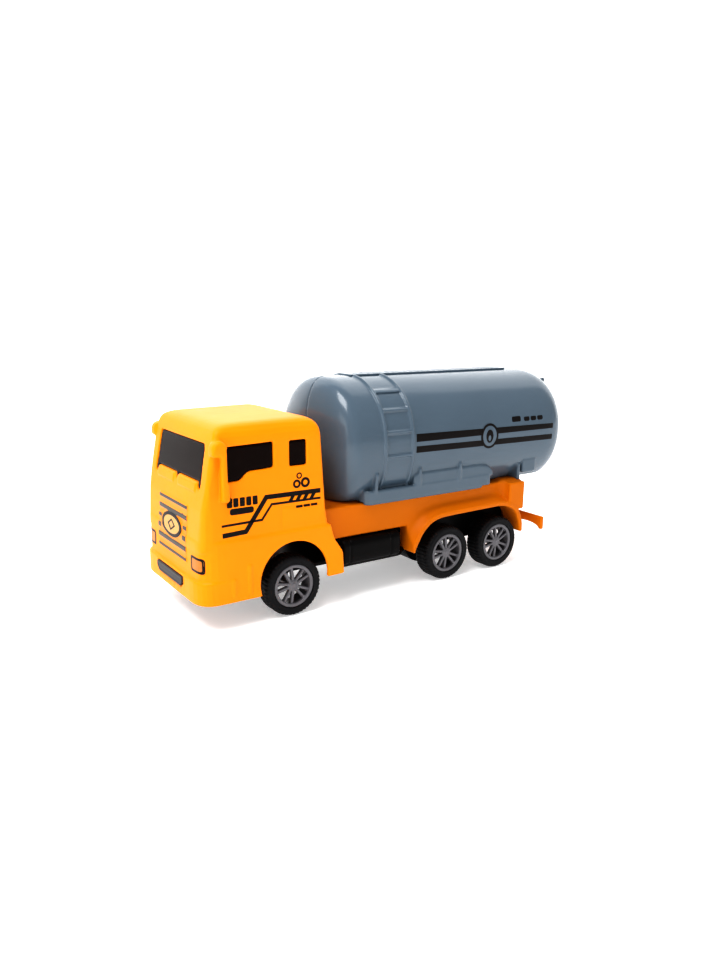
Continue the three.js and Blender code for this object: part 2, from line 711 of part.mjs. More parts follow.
function wheelHub(side, y) {
  const outer = TYRE_OUTER_X - RIM_INSET;
  const inner = RIM_RADIUS - RIM_WALL;
  const rimPoints = [
    [inner, outer - RIM_DEPTH],
    [RIM_RADIUS, outer - RIM_DEPTH],
    [RIM_RADIUS, outer],
    [inner, outer],
  ];
  const rim = ringX(sided(rimPoints, side), y, WHEEL_RADIUS);
  const bossSpan = outward(side, BEARING.outer + BOSS_STANDOFF, outer - BOSS_INSET);
  const boss = rodX(BOSS_RADIUS, bossSpan, y, WHEEL_RADIUS);
  const spokes = [];
  for (let pair = 0; pair < SPOKE_PAIRS; pair++) {
    for (const lean of [-SPOKE_SPREAD, SPOKE_SPREAD]) {
      const length = inner + RIM_WALL / 2;
      const bar = new THREE.BoxGeometry(SPOKE_DEPTH, SPOKE_WIDTH, length);
      bar.translate(side * (outer - SPOKE_INSET - SPOKE_DEPTH / 2), 0, length / 2);
      bar.rotateX((pair * 2 * Math.PI) / SPOKE_PAIRS + lean);
      spokes.push(solid(bar.translate(0, y, WHEEL_RADIUS)));
    }
  }
  const boreRadius = AXLE_RADIUS + FITTED_CLEARANCE;
  const bore = rodX(boreRadius, outward(side, 0, AXLE_HALF_LENGTH + GAP), y, WHEEL_RADIUS);
  return cut(join(rim, boss, ...spokes), bore);
}

const axle = (y) => rodX(AXLE_RADIUS, [-AXLE_HALF_LENGTH, AXLE_HALF_LENGTH], y, WHEEL_RADIUS);

// ---- Friction motor -----------------------------------------------------------------------------

const pitchRadius = ({ teeth, module }) => (teeth * module) / 2;
const offset = ([y, z], distance, angle) => [
  y + distance * Math.cos(angle),
  z + distance * Math.sin(angle),
];
const DRIVE_AT = [AXLE_Y.middle, WHEEL_RADIUS];
const IDLER_AT = offset(
  DRIVE_AT,
  pitchRadius(DRIVE_GEAR) + pitchRadius(IDLER_PINION),
  IDLER_DIRECTION,
);
const FLYWHEEL_AT = offset(
  IDLER_AT,
  pitchRadius(IDLER_GEAR) + pitchRadius(FLYWHEEL_PINION),
  FLYWHEEL_DIRECTION,
);

const PRESSURE_ANGLE = THREE.MathUtils.degToRad(25);
const ADDENDUM = 0.8; // in modules
const DEDENDUM = 1.15; // in modules
const BACKLASH = 0.12; // taken off each tooth at the pitch circle
const ROOT_FILLET = 0.05; // the flank starts this far above the root

// A spur gear's outline, with the middle of one tooth at the angle given.
function gearOutline({ teeth, module }, toothAngle) {
  const pitch = (teeth * module) / 2;
  const base = pitch * Math.cos(PRESSURE_ANGLE);
  const tip = pitch + ADDENDUM * module;
  const root = pitch - DEDENDUM * module;
  const involute = (radius) => {
    const angle = Math.acos(Math.min(1, base / radius));
    return Math.tan(angle) - angle;
  };
  const halfTooth = Math.PI / (2 * teeth) - BACKLASH / (2 * pitch);
  const flank = [root, Math.max(base, root + ROOT_FILLET), tip];
  const halfAngle = (radius) => halfTooth + involute(pitch) - involute(Math.max(radius, base));
  const points = [];
  for (let tooth = 0; tooth < teeth; tooth++) {
    const middle = toothAngle + (tooth * 2 * Math.PI) / teeth;
    for (const radius of flank) points.push(polar(radius, middle - halfAngle(radius)));
    for (const radius of flank.slice().reverse()) {
      points.push(polar(radius, middle + halfAngle(radius)));
    }
  }
  return points;
}

const polar = (radius, angle) => [radius * Math.cos(angle), radius * Math.sin(angle)];

function gear(kind, toothAngle, [y, z]) {
  return prismX(gearOutline(kind, toothAngle), kind.span).translate([0, y, z]);
}

// Tooth angles that put each pair in mesh: a tooth of the driver points at its follower.
const toothGap = ({ teeth }) => Math.PI / teeth;
const IDLER_PINION_ANGLE = IDLER_DIRECTION + Math.PI + toothGap(IDLER_PINION);
const FLYWHEEL_PINION_ANGLE = FLYWHEEL_DIRECTION + Math.PI + toothGap(FLYWHEEL_PINION);

function driveGear() {
  const [y, z] = DRIVE_AT;
  const wheel = gear(DRIVE_GEAR, IDLER_DIRECTION, DRIVE_AT);
  const collar = rodX(DRIVE_COLLAR.radius, DRIVE_COLLAR.span, y, z);
  return cut(join(wheel, collar), rodX(AXLE_RADIUS + FITTED_CLEARANCE, [-REACH, REACH], y, z));
}

function idlerGear() {
  const [y, z] = IDLER_AT;
  const pinion = gear(IDLER_PINION, IDLER_PINION_ANGLE, IDLER_AT);
  const wheel = gear(IDLER_GEAR, FLYWHEEL_DIRECTION, IDLER_AT);
  const bore = rodX(PIN_RADIUS + RUNNING_CLEARANCE, [-REACH, REACH], y, z);
  return cut(join(pinion, wheel), bore);
}

function flywheelPinion() {
  const [y, z] = FLYWHEEL_AT;
  const teeth = gear(FLYWHEEL_PINION, FLYWHEEL_PINION_ANGLE, FLYWHEEL_AT);
  const shaft = rodX(PIN_RADIUS, [-MOTOR_HALF_WIDTH + GAP, MOTOR_HALF_WIDTH - GAP], y, z);
  return join(teeth, shaft);
}

function flywheel() {
  const [y, z] = FLYWHEEL_AT;
  const disc = rodX(FLYWHEEL.radius, FLYWHEEL.span, y, z, WHEEL_SIDES);
  return cut(disc, rodX(PIN_RADIUS + FITTED_CLEARANCE, [-REACH, REACH], y, z));
}

function idlerPin() {
  const [y, z] = IDLER_AT;
  return rodX(PIN_RADIUS, [-MOTOR_HALF_WIDTH + GAP, MOTOR_HALF_WIDTH - GAP], y, z);
}

// The outline round the three gear centres, as the hull of a circle about each.
function motorOutline(inset) {
  const centres = [
    [DRIVE_AT, MOTOR_RADII.drive - inset],
    [IDLER_AT, MOTOR_RADII.idler - inset],
    [FLYWHEEL_AT, MOTOR_RADII.flywheel - inset],
  ];
  const points = centres.flatMap(([[y, z], radius]) =>
    Array.from({ length: WHEEL_SIDES }, (_, i) => {
      const [dy, dz] = polar(radius, (i / WHEEL_SIDES) * 2 * Math.PI);
      return [y + dy, z + dz];
    }),
  );
  return hull(points);
}

// The convex hull of points in a plane, anticlockwise.
function hull(points) {
  const sorted = points.slice().sort((a, b) => a[0] - b[0] || a[1] - b[1]);
  const turn = (a, b, c) => (b[0] - a[0]) * (c[1] - a[1]) - (b[1] - a[1]) * (c[0] - a[0]);
  const chain = (list) => {
    const kept = [];
    for (const point of list) {
      while (kept.length > 1 && turn(kept.at(-2), kept.at(-1), point) <= 0) kept.pop();
      kept.push(point);
    }
    return kept.slice(0, -1);
  };
  return [...chain(sorted), ...chain(sorted.reverse())];
}

function motorCase(side) {
  const outer = prismX(motorOutline(0), outward(side, GAP / 2, MOTOR_HALF_WIDTH));
  const room = outward(side, 0, MOTOR_HALF_WIDTH - MOTOR_WALL);
  const inner = prismX(motorOutline(MOTOR_WALL), room);
  const axleHole = rodX(AXLE_RADIUS + RUNNING_CLEARANCE, [-REACH, REACH], ...DRIVE_AT);
  const pinHole = rodX(PIN_RADIUS + FITTED_CLEARANCE, [-REACH, REACH], ...IDLER_AT);
  const shaftHole = rodX(PIN_RADIUS + RUNNING_CLEARANCE, [-REACH, REACH], ...FLYWHEEL_AT);
  return cut(outer, inner, axleHole, pinHole, shaftHole);
}

// ---- Screws -----------------------------------------------------------------------------------

// A screw driven upward, its head under the face at the height given.
function screw(x, y, face) {
  const { head, headHeight, shank, length, sides } = SCREW;
  const points = [
    [0, -headHeight - GAP],
    [head * 0.75, -headHeight - GAP],
    [head, -headHeight / 2 - GAP],
    [head, -GAP],
    [shank, -GAP],
    [shank, length - 1],
    [0, length],
  ].map(([radius, z]) => new THREE.Vector2(radius, z));
  const geometry = new THREE.LatheGeometry(points, sides).rotateX(Math.PI / 2);
  return solid(geometry.translate(x, y, face));
}

// ---- Assembly -----------------------------------------------------------------------------------

const truck = new THREE.Group();

function add(name, body, material) {
  const mesh = new THREE.Mesh(geometryOf(body), material);
  mesh.name = name;
  truck.add(mesh);
}

add("cab_shell", cabShell(), MATERIALS.orange);
add("cab_glazing", glazing(), MATERIALS.glazing);
add("bumper_plate", bumperPlate(0), MATERIALS.plate);
add("deck_frame", deckFrame(), MATERIALS.orange);
add("base_plate", basePlate(), MATERIALS.black);
add("tank_walkway", walkway(), MATERIALS.grey);

for (const [name, side] of Object.entries(SIDES)) {
  add(`tank_half_${name}`, tankHalf(side), MATERIALS.grey);
  add(`motor_case_${name}`, motorCase(side), MATERIALS.black);
  add(`cab_screw_${name}`, screw(side * POST_X, CAB_POST_Y, BASE_BOTTOM), MATERIALS.steel);
  DECK_POSTS_Y.forEach((y, i) => {
    add(`deck_screw_${name}_${i + 1}`, screw(side * POST_X, y, BASE_BOTTOM), MATERIALS.steel);
  });
  TANK_POSTS_Y.forEach((y, i) => {
    const face = DECK_TOP - DECK_THICKNESS;
    add(`tank_screw_${name}_${i + 1}`, screw(side * POST_X, y, face), MATERIALS.steel);
  });
}

for (const [row, y] of Object.entries(AXLE_Y)) {
  add(`axle_${row}`, axle(y), MATERIALS.steel);
  for (const [name, side] of Object.entries(SIDES)) {
    add(`tyre_${row}_${name}`, tyre(side, y), MATERIALS.tyre);
    add(`hub_${row}_${name}`, wheelHub(side, y), MATERIALS.silver);
  }
}

add("drive_gear", driveGear(), MATERIALS.white);
add("idler_gear", idlerGear(), MATERIALS.white);
add("idler_pin", idlerPin(), MATERIALS.steel);
add("flywheel_pinion", flywheelPinion(), MATERIALS.steel);
add("flywheel", flywheel(), MATERIALS.steel);

truck.position.y = -(BUMPER_FRONT_Y - PLATE_PROUD + TANK.rearY) / 2;

export default truck;
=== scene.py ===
"""The looks of a toy tanker truck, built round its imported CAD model.

Shapes are given in millimetres, with y measured back from the front axle. The truck faces -Y and
its left-hand side is +X. A moulding is a field of distances to its surface, sampled on a block of
points and turned into a mesh, so that all its edges are as soft as the real ones.
"""
import json
import math

import bmesh
import bpy
import numpy as np
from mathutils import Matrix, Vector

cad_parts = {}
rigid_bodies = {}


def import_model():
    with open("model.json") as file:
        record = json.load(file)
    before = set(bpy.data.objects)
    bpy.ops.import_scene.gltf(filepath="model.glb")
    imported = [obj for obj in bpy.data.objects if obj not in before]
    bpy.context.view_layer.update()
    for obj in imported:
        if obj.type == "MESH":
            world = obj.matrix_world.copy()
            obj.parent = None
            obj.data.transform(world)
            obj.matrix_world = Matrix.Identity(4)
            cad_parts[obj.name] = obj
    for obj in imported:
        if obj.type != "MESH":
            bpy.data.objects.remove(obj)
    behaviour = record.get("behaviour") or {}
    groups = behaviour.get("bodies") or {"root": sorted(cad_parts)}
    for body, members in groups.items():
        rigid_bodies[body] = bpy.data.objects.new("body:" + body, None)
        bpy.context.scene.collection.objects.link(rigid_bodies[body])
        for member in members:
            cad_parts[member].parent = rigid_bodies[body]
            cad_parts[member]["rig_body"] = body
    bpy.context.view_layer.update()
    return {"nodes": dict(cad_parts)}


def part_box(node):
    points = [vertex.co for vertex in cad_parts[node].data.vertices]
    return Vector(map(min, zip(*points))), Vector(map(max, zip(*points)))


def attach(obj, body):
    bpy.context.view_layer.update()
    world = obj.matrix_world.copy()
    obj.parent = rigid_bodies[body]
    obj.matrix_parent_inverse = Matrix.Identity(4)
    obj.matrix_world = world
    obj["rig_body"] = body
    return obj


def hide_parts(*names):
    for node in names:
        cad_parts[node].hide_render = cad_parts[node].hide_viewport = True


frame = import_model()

import openvdb
from mathutils import Matrix, Vector
from mathutils.bvhtree import BVHTree

# ---- Driving dimensions, in millimetres ----

# An outline is a list of corners (u, v) or (u, v, radius). A box is its spans along x, y and z.

MM = 0.001
FRONT_AXLE_Y = sum(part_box("axle_front"), Vector()).y / 2
SIDES = {"left": 1, "right": -1}
ROWS = ("front", "middle", "rear")
BODY = "truck_body"

STEP = 0.4  # between the sample points of the large mouldings
FINE_STEP = 0.2  # and of the small ones
MARGIN = 1.0
FAR = 60  # past the end of anything it is compared with

WALL = 1.6
WHEEL_RADIUS = 11
RIM_RADIUS = 7.9

CAB_HALF_WIDTH = 26.2
SKIRT_HALF_WIDTH = 26.7
BELT_Z = 31.7
UPPER_BOTTOM = BELT_Z - 4  # the upper cab starts inside the lower
CAB_FRONT_Y = -36
CAB_CORNER = 8
CAB_EDGE = 1.5
SKIRT_FRONT_Y = -35
SKIRT_CORNER = 9
PLAN_REAR_Y = 30  # past the back of the cab, which its profile closes
ROOF_TAPER = 0.8
ROOF_CORNER = 7
ROOF_Z = 70.9
BUMPER_FRONT_Y = -35.6
BUMPER_TOP = 18
BUMPER_REAR_Y = -22
ARCH = {"y": 0.4, "z": 13.9, "radius": 13.6, "inner_x": 16.2}
POST_X = 10
CAB_POST_Y = -20
DECK_POSTS_Y = (52, 107.2)
POST_RADIUS = 2.6

DECK_TOP = 36
DECK_HALF_WIDTH = 22
DECK_FRONT_Y = 14.4
DECK_REAR_Y = 113.2
FENDER_HALF_WIDTH = 26.7
REAR_BAR_Y = 126.5

TANK_CENTRE_Z = 56.2
TANK_FRONT_Y = 20.3
TANK_REAR_Y = 142
TANK_HALF_WIDTH = 26.2
TANK_HALF_HEIGHT = 25.7
TANK_WALL = 1.5

CAB_PROFILE = [
    (-34.2, UPPER_BOTTOM), (-33.1, 42), (-29.1, 64), (-27, 70.2, 7),
    (11.4, ROOF_Z + 0.2, 6.5), (13.5, 38), (15, UPPER_BOTTOM),
]
SKIRT_PROFILE = [
    (-34.6, -20), (-34.2, BELT_Z, 1), (15.2, BELT_Z, 0.6), (16.8, 26, 1.5), (20.6, 20.6, 1.5),
    (21.1, 12.5), (21.1, -20),
]
HEM = [(-FAR, 9.8), (-13, 9.8), (13.8, 12), (FAR, 12.6), (FAR, 2 * FAR), (-FAR, 2 * FAR)]
WINDSCREEN = [
    (-19.6, 63.6, 1.6), (-20.3, 48.7, 0.9), (-18, 48.7, 0.9), (-17.7, 50.9, 0.8),
    (-1.4, 50.9, 0.6), (-0.1, 48.9, 0.3), (1.2, 50.9, 0.6), (17.7, 50.9, 0.8), (18, 48.7, 0.9),
    (20.3, 48.7, 0.9), (19.6, 63.6, 1.6),
]
SIDE_WINDOW = [
    (-25.4, 62.9, 0.7), (-7.3, 63.4, 0.7), (-7.3, 54.6, 0.9), (-17, 54.2, 1.6),
    (-19.8, 51.4, 1.2), (-25.2, 51.3, 0.8),
]
QUARTER_WINDOW = [(-1.1, 63.2, 0.7), (5.6, 63.2, 0.7), (5.6, 54.3, 0.7), (-1.1, 54.3, 0.7)]
GRILLE = {"half_width": 12.9, "bars": 6, "low": 23.1, "pitch": 3.62, "height": 1.5}
BROW = {"inner_x": 1.9, "outer_x": 17.2, "low": 47.4, "high": 50.3, "proud": 0.35}
BADGE = {"z": 32.7, "half_width": 9.4, "half_height": 4.5, "proud": 0.45}
FRONT_WALL_Y = -25  # the cab's front relief is all ahead of this
SIDE_WALL_X = 20  # and its side relief outside this
DOOR_LINE = {"y": -4.3, "top": 40.3, "rear": 10, "depth": 0.22}
SIDE_RIB = {"bottom": 12.5, "half_width": 0.8, "proud": 0.28}
SIDE_RIBS = ((-23.4, 17.5), (-17.3, 21.5))
MIRROR_ARM = [
    (-30.3, 60.2, 1.5), (-24.5, 60.2, 1), (-24.7, 63.6, 3), (-27.1, 65.9, 2.5),
    (-30.2, 64.4, 3),
]
MIRROR_ARM_X = (23.8, 28.4)
MIRROR_BAR = ((25.8, 28.4), (-27.3, -24.5), (45.2, 61.5))
MIRROR_FOOT = ((23.8, 28), (-27, -24.8), (45.5, 47.2))
DECK_ROOM = {"half_width": 22.3, "front": 14.1, "top": 36.3}
PILOT_RADIUS = 1
POST_BOTTOM = 14.8
CAB_POST_TOP = 69
GLAZING_BAND = {"inset": 2, "inside": 3.3, "low": 47, "high": 65.5, "rear": 7}
PANE_INSET = 0.35
PANE_GAP = 0.12
PLATE_BLANK = {"half_width": 11.7, "low": 13.3, "shoulder": 14.9, "high": 16.9, "chamfer": 1.8}
PLATE_CORNER = 0.4
PLATE_Y = (-36.1, -34.9)
PLATE_RIM = {"width": 0.7, "depth": 0.15}
PLATE_ROOM_GAP = 0.25
PLATE_ROOM_REAR_Y = -35

WHEEL_ROOM = [
    (54.6, -20), (54.6, 15), (58.1, 21.4, 3), (62.6, 25.2, 3), (67.8, 26.4, 3),
    (100.4, 26.9, 4), (107.3, 24.9, 4), (110.6, 19.8, 4), (111.8, 13.6), (111.8, -20),
]
LIP = 1.9
FLARE_REACH = 4.8
FLARE_POWER = 2.6
FLARE_ROOT = 0.3  # its depth inside the deck's side
FLARE_SLOPE = 1.25  # brings the flare's field nearer to a true distance
FENDER_BOTTOM = 13.8
FENDER_FRONT_Y = 53.4
WHEEL_ROOM_INNER_X = 15
DECK_WALL = ((-1, DECK_HALF_WIDTH), (DECK_FRONT_Y, DECK_REAR_Y), (24, DECK_TOP))
DECK_CORNER = ((-1, FENDER_HALF_WIDTH), (104.5, DECK_REAR_Y), (24, DECK_TOP))
DECK_TAIL = ((-1, 20), (111.6, DECK_REAR_Y), (15.2, 30))
DECK_CAVITY_TOP = 34
DECK_CAVITIES = (
    ((-1, 20.4), (16, 52), (-FAR, DECK_CAVITY_TOP)),
    ((-1, 16.8), (16, 111.6), (-FAR, DECK_CAVITY_TOP)),
)
DECK_POST_TOP = 35
DECK_PILOT_TOP = 23.5
REAR_BAR = ((-26.7, 26.7), (124.7, REAR_BAR_Y), (12.7, 18.4))
REAR_BAR_ARCH = {"x": 18.2, "z": 12.7, "half_width": 7, "height": 2.2}
REAR_BAR_ARMS = ((8, 12), (112, 125.6), (15.2, 18.2))

SQUARENESS = 2.2
DOME_POWER = 2.9
FRONT_DOME = 9.7
REAR_DOME = 17.6
LADDER_BOTTOM = 40
LADDER_LEAN = 0.06  # how far the rungs rise toward the middle
LADDER_RAILS = (39.2, 51.9)
LADDER_RUNGS = (53.5, 62.5, 70.2, 76.5)
GUSSETS_Y = (36, 56.5, 77)
LADDER_END_X = 4.5
RAIL = {"proud": 0.85, "half_width": 0.62}
RUNG = {"proud": 0.7, "half_width": 0.55}
STRIP = ((-4.2, 4.2), (38, 120), (81.5, 82.4))
SEAT = ((-5, 4.25), (37.95, 120.05), (81.5, 2 * FAR))
TREADS = {"front": 40, "rear": 118, "pitch": 3, "half_gap": 0.9, "half_width": 3.3, "floor": 82.2}
BOARD_PLAN = [(10, 31.2), (25.2, 31.2, 5), (25.2, 95, 2), (10, 95)]
BOARD_Z = (36.3, 41)
BOARD_EDGE = ((22.4, 25.2), (31.2, 90), (35.3, 41))
PAD_SIDE = [(54, 40), (54, 45.6, 2), (92, 45.6, 6), (96, 42, 4), (96, 40)]
PAD_X = (12, 25.1)
GUSSET = [(18, 40), (25.3, 40), (26, 47.2, 0.6), (25.2, 48, 0.6), (20, 48)]
GUSSET_HALF_WIDTH = 0.75
REAR_FIN = ((14, 24.2), (111, 112.6), (36.3, 43.6))
CABINET = ((14, 24.4), (113.6, 121.5), (39.2, 45))
LUG = ((8.6, 11.6), (133, 138), (75, 77.8))
TANK_DECK_ROOM = ((-9, 22.3), (0, 150), (0, 36.3))
TANK_BOTTOM = 35.3

BASE_HALF_PLAN = [
    (-1, -31), (22.5, -31, 4), (22.5, -15.2, 0.5), (15.9, -15.2), (15.9, 21.8), (22.5, 21.8),
    (22.5, 50, 2), (15.9, 58.7, 2), (15.9, 110.8, 1), (-1, 110.8),
]
BASE_Z = (12.5, 14.5)
BASE_WALL = ((14, 16.1), (47, 110.8), (12.5, 24))
SIDE_TANK_SECTION = [
    (14.5, 13.6), (23.6, 13.6, 2), (24.4, 15.6, 2), (24.4, 23.4, 3.2), (14.5, 23.4),
]
SIDE_TANK_Y = (22.2, 48.8)
SIDE_TANK_GROOVES_Y = (25.4, 44.2)
BEARING = {"x": (11.4, 15.6), "half_length": 3.6, "z": (7.4, 14.4)}
BORE_RADIUS = 1.08
SCREW_HOLE_RADIUS = 1.25
BASE_RIBS_Y = (-8, 5, 18, 31, 44)
BASE_RIB = {"x": (-1, 9), "half_length": 0.5, "z": (11.7, 13)}
MOTOR_ROOM = {"x": (-1, 9.3), "ahead": 10, "behind": 24}

SCREW_STEP = 0.12
SCREW_HEAD_HEIGHT = 1.6
SCREW_HEAD = {"radius": 2.15, "squash": 1.1, "z": (-SCREW_HEAD_HEIGHT, -0.3)}
THREAD = {"core": 0.72, "height": 0.2, "turns_per_mm": 1.1, "z": (-0.5, 9)}
CROSS_RECESS = ((-1.2, 1.2), (-0.25, 0.25), (-3, -0.9))

SPOKE_PAIRS = 5
SPOKE = {"start": (1.2, 0.45), "end": (7.3, 1.75), "half_width": 0.56, "depth": 1.7}
HUB_FACE = {"x": 25.6, "dish": 0.02, "nose": 0.035, "nose_radius": 3.5}
BARREL = {"inner": 6.85, "x": (19.6, 26.1)}
RIM_LIP = {"inner": 6.55, "x": (25.2, 26.15)}
BOSS = {"radius": 1.9, "x": (16.3, 25.75)}
CAP = {"radius": 1.15, "x": (25, 26)}
HUB_BORE = {"radius": 1.03, "end_x": 24.5}
TYRE_PROFILE = [
    (7.95, 18.5), (9.2, 18.5), (10.1, 18.6), (10.75, 19.15), (11.0, 19.9), (11.0, 21.3),
    (11.0, 22.5), (11.0, 23.7), (11.0, 25.1), (10.75, 25.85), (10.2, 26.35), (9.6, 26.5),
    (9.2, 26.42), (8.6, 26.42), (8.3, 26.5), (7.95, 26.35),
]
TYRE_MIDDLE_X = 22.5
TREAD_BLOCKS = 44
POINTS_PER_BLOCK = 6
TREAD_GAP = {"share": 0.3, "depth": 0.3, "inner_radius": 10.6}
CENTRE_GROOVE = {"half_width": 0.6, "depth": 0.35}

PRINT_LIFT = 0.05
PRINT_DEPTH = 0.2
LIFTS = {"panel": 0.04, "frame": 0.08, "disc": 0.09, "badge": 0.12, "emblem": 0.14}
BADGE_LIFTS = {"ring": 0.16, "mark": 0.17}
BADGE_DISC = (8.6, 4)
BADGE_RINGS = ((9.0, 4.3), (7.2, 3.1))
WORD_BARS = {"left": -24.9, "width": 1.8, "pitch": 2.35, "count": 5, "low": 42.8, "high": 45.8}
THICK_STRIPE = [(-26.8, 33.6), (-18.3, 33.9), (-10.4, 44.7), (11, 44.5)]
THIN_STRIPE = [(-27, 36.9), (-12.2, 37.1), (-8.4, 42), (11, 41.8)]
RINGS = (((1.5, 47.9), 1.5, 0.75), ((4.9, 48.1), 1.8, 0.9), ((2.5, 50.7), 1.1, 0.65))
SLANTS = {"left": -2, "pitch": 2.8, "count": 4, "width": 1.5, "lean": 1.2, "z": (42, 43.9)}
DOOR_LOZENGE = (-23.9, -15.2, 40.2, 42.3)
DOOR_DASHES = {"left": 1.1, "width": 2.6, "pitch": 3, "count": 3, "z": (39.4, 40.2)}
BADGE_CLEARANCE = {"across": 9.9, "up": 3}
BADGE_DIAMONDS = ((3.4, 2.1), (2.2, 1.4))
HEADLAMP = {"inner_x": 16.6, "outer_x": 24.6, "low": 20.8, "high": 26.2}
BAR_HEIGHTS = (1.1, 1.8, 1.8, 1.3, 1.8, 1.1)
EMBLEM = (91.6, 57.2)
EMBLEM_DISC = (4.5, 4.9)
EMBLEM_RINGS = ((4.7, 5.1), (3.8, 4.2))
TANK_STRIPES = (
    [(53.7, 58.0), (129, 57.7), (129.2, 59.8), (53.7, 61.0)],
    [(53.7, 53.8), (128.8, 52.9), (128.8, 55.1), (53.7, 56.3)],
)
TANK_LOZENGE = (104.4, 109.4, 61.9, 64.1)
TANK_DASHES = {"left": 111.4, "width": 3.2, "pitch": 4, "count": 3, "z": (62.0, 63.6)}

CAMERA_PLACE = (0.25076, -0.18037, 0.10666)
CAMERA_AZIMUTH = 55.584
CAMERA_ELEVATION = 12.998
CAMERA_ROLL = 0.609
CAMERA_LENS = 28.402
BACKDROP_SIZE = 6
BACKDROP_DISTANCE = 1.6


def axle_y(row):
    """How far an axle is behind the front one."""
    low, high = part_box(f"axle_{row}")
    return ((low.y + high.y) / 2 - FRONT_AXLE_Y) / MM


# ---- Distance fields ----


class Block:
    """A block of sample points."""

    def __init__(self, low, high, step):
        self.low = np.array(low, np.float32)
        self.step = step
        counts = [int((b - a) / step) + 2 for a, b in zip(low, high)]
        axes = np.ogrid[tuple(slice(n) for n in counts)]
        self.x, self.y, self.z = (
            (axis * step + start).astype(np.float32) for axis, start in zip(axes, low)
        )
        self.out = np.abs(self.x)  # distance outward from the middle


def outline(points, steps=6):
    """Corners (u, v) or (u, v, radius), with a curve in place of each corner with a radius."""
    result = []
    for i, (u, v, *radius) in enumerate(points):
        here = np.array((u, v), float)
        if not radius:
            result.append((u, v))
            continue
        ends = []
        for neighbour in (points[i - 1], points[(i + 1) % len(points)]):
            edge = np.array(neighbour[:2], float) - here
            ends.append(here + edge * min(radius[0] / np.linalg.norm(edge), 0.48))
        for t in np.linspace(0, 1, steps + 1):
            point = (1 - t) ** 2 * ends[0] + 2 * t * (1 - t) * here + t * t * ends[1]
            result.append(tuple(point))
    return result


def region(u, v, points):
    """Distance in a plane to a closed outline, negative inside it."""
    u, v = np.broadcast_arrays(u, v)
    corners = outline(points)
    nearest = np.full(u.shape, np.inf, np.float32)
    inside = np.zeros(u.shape, bool)
    for (u0, v0), (u1, v1) in zip(corners, corners[1:] + corners[:1]):
        if (u0, v0) == (u1, v1):
            continue
        du, dv = u1 - u0, v1 - v0
        t = np.clip(((u - u0) * du + (v - v0) * dv) / (du * du + dv * dv), 0, 1)
        gap = (u - u0 - t * du) ** 2 + (v - v0 - t * dv) ** 2
        nearest = np.minimum(nearest, gap)
        if dv:
            inside ^= ((v0 > v) != (v1 > v)) & (u < u0 + (v - v0) * du / dv)
    return np.where(inside, -1, 1) * np.sqrt(nearest)


def both(a, b, rounding=0.0):
    """What lies in both shapes, with the edge where they meet rounded."""
    if not rounding:
        return np.maximum(a, b)
    corner = np.hypot(np.maximum(a + rounding, 0), np.maximum(b + rounding, 0))
    return np.minimum(np.maximum(a, b), -rounding) + corner


def either(a, b, fillet=0.0):
    return -both(-a, -b, fillet)


def without(a, b, rounding=0.0):
    return both(a, -b, rounding)


def between(w, low, high):
    return np.maximum(low - w, w - high)


def slab(shape, w, low, high, rounding=0.3):
    """A flat outline given depth, with rounded edges."""
    return both(shape, between(w, low, high), rounding)


def cuboid(g, spans, rounding=0.3):
    """A box with rounded edges, the same on both sides of the middle."""
    flat = both(between(g.out, *spans[0]), between(g.y, *spans[1]), rounding)
    return both(flat, between(g.z, *spans[2]), rounding)


def disc(u, v, centre, radius):
    return np.hypot(u - centre[0], v - centre[1]) - radius


def bar(u, v, start, end, radius):
    """Distance in a plane to a round-ended bar."""
    (u0, v0), (u1, v1) = start, end
    du, dv = u1 - u0, v1 - v0
    t = np.clip(((u - u0) * du + (v - v0) * dv) / (du * du + dv * dv), 0, 1)
    return np.hypot(u - u0 - t * du, v - v0 - t * dv) - radius


# ---- Meshes ----


def to_frame(points):
    """Millimetres from the front axle to metres in the CAD model's frame."""
    return points * MM + np.array((0, FRONT_AXLE_Y, 0))


def placed(name, data):
    """A new object, put in the scene."""
    piece = bpy.data.objects.new(name, data)
    bpy.context.scene.collection.objects.link(piece)
    return piece


def new_object(name, points, faces):
    """A smooth object from points in millimetres and faces with equally many corners."""
    mesh = bpy.data.meshes.new(name)
    corners = faces.shape[1]
    mesh.vertices.add(len(points))
    mesh.vertices.foreach_set("co", to_frame(points).astype(np.float32).ravel())
    mesh.loops.add(faces.size)
    mesh.loops.foreach_set("vertex_index", faces.astype(np.int32).ravel())
    mesh.polygons.add(len(faces))
    starts = np.arange(0, faces.size, corners, dtype=np.int32)
    mesh.polygons.foreach_set("loop_start", starts)
    mesh.update(calc_edges=True)
    mesh.validate()
    mesh.shade_smooth()
    piece = placed(name, mesh)
    return piece


def moulded(name, block, field):
    """The mesh of a field's surface."""
    limit = 3 * block.step
    grid = openvdb.FloatGrid(limit)
    grid.copyFromArray(np.clip(field, -limit, limit).astype(np.float32))
    points, quads = grid.convertToQuads(0.0)
    return new_object(name, points * block.step + block.low, quads)


def fit(piece, body, material, slot, *nodes):
    """Puts a finished piece on its body, in place of the CAD nodes it stands for."""
    piece.data.materials.clear()
    piece.data.materials.append(material)
    if nodes:
        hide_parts(*nodes)
    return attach(piece, body)


# ---- Materials ----


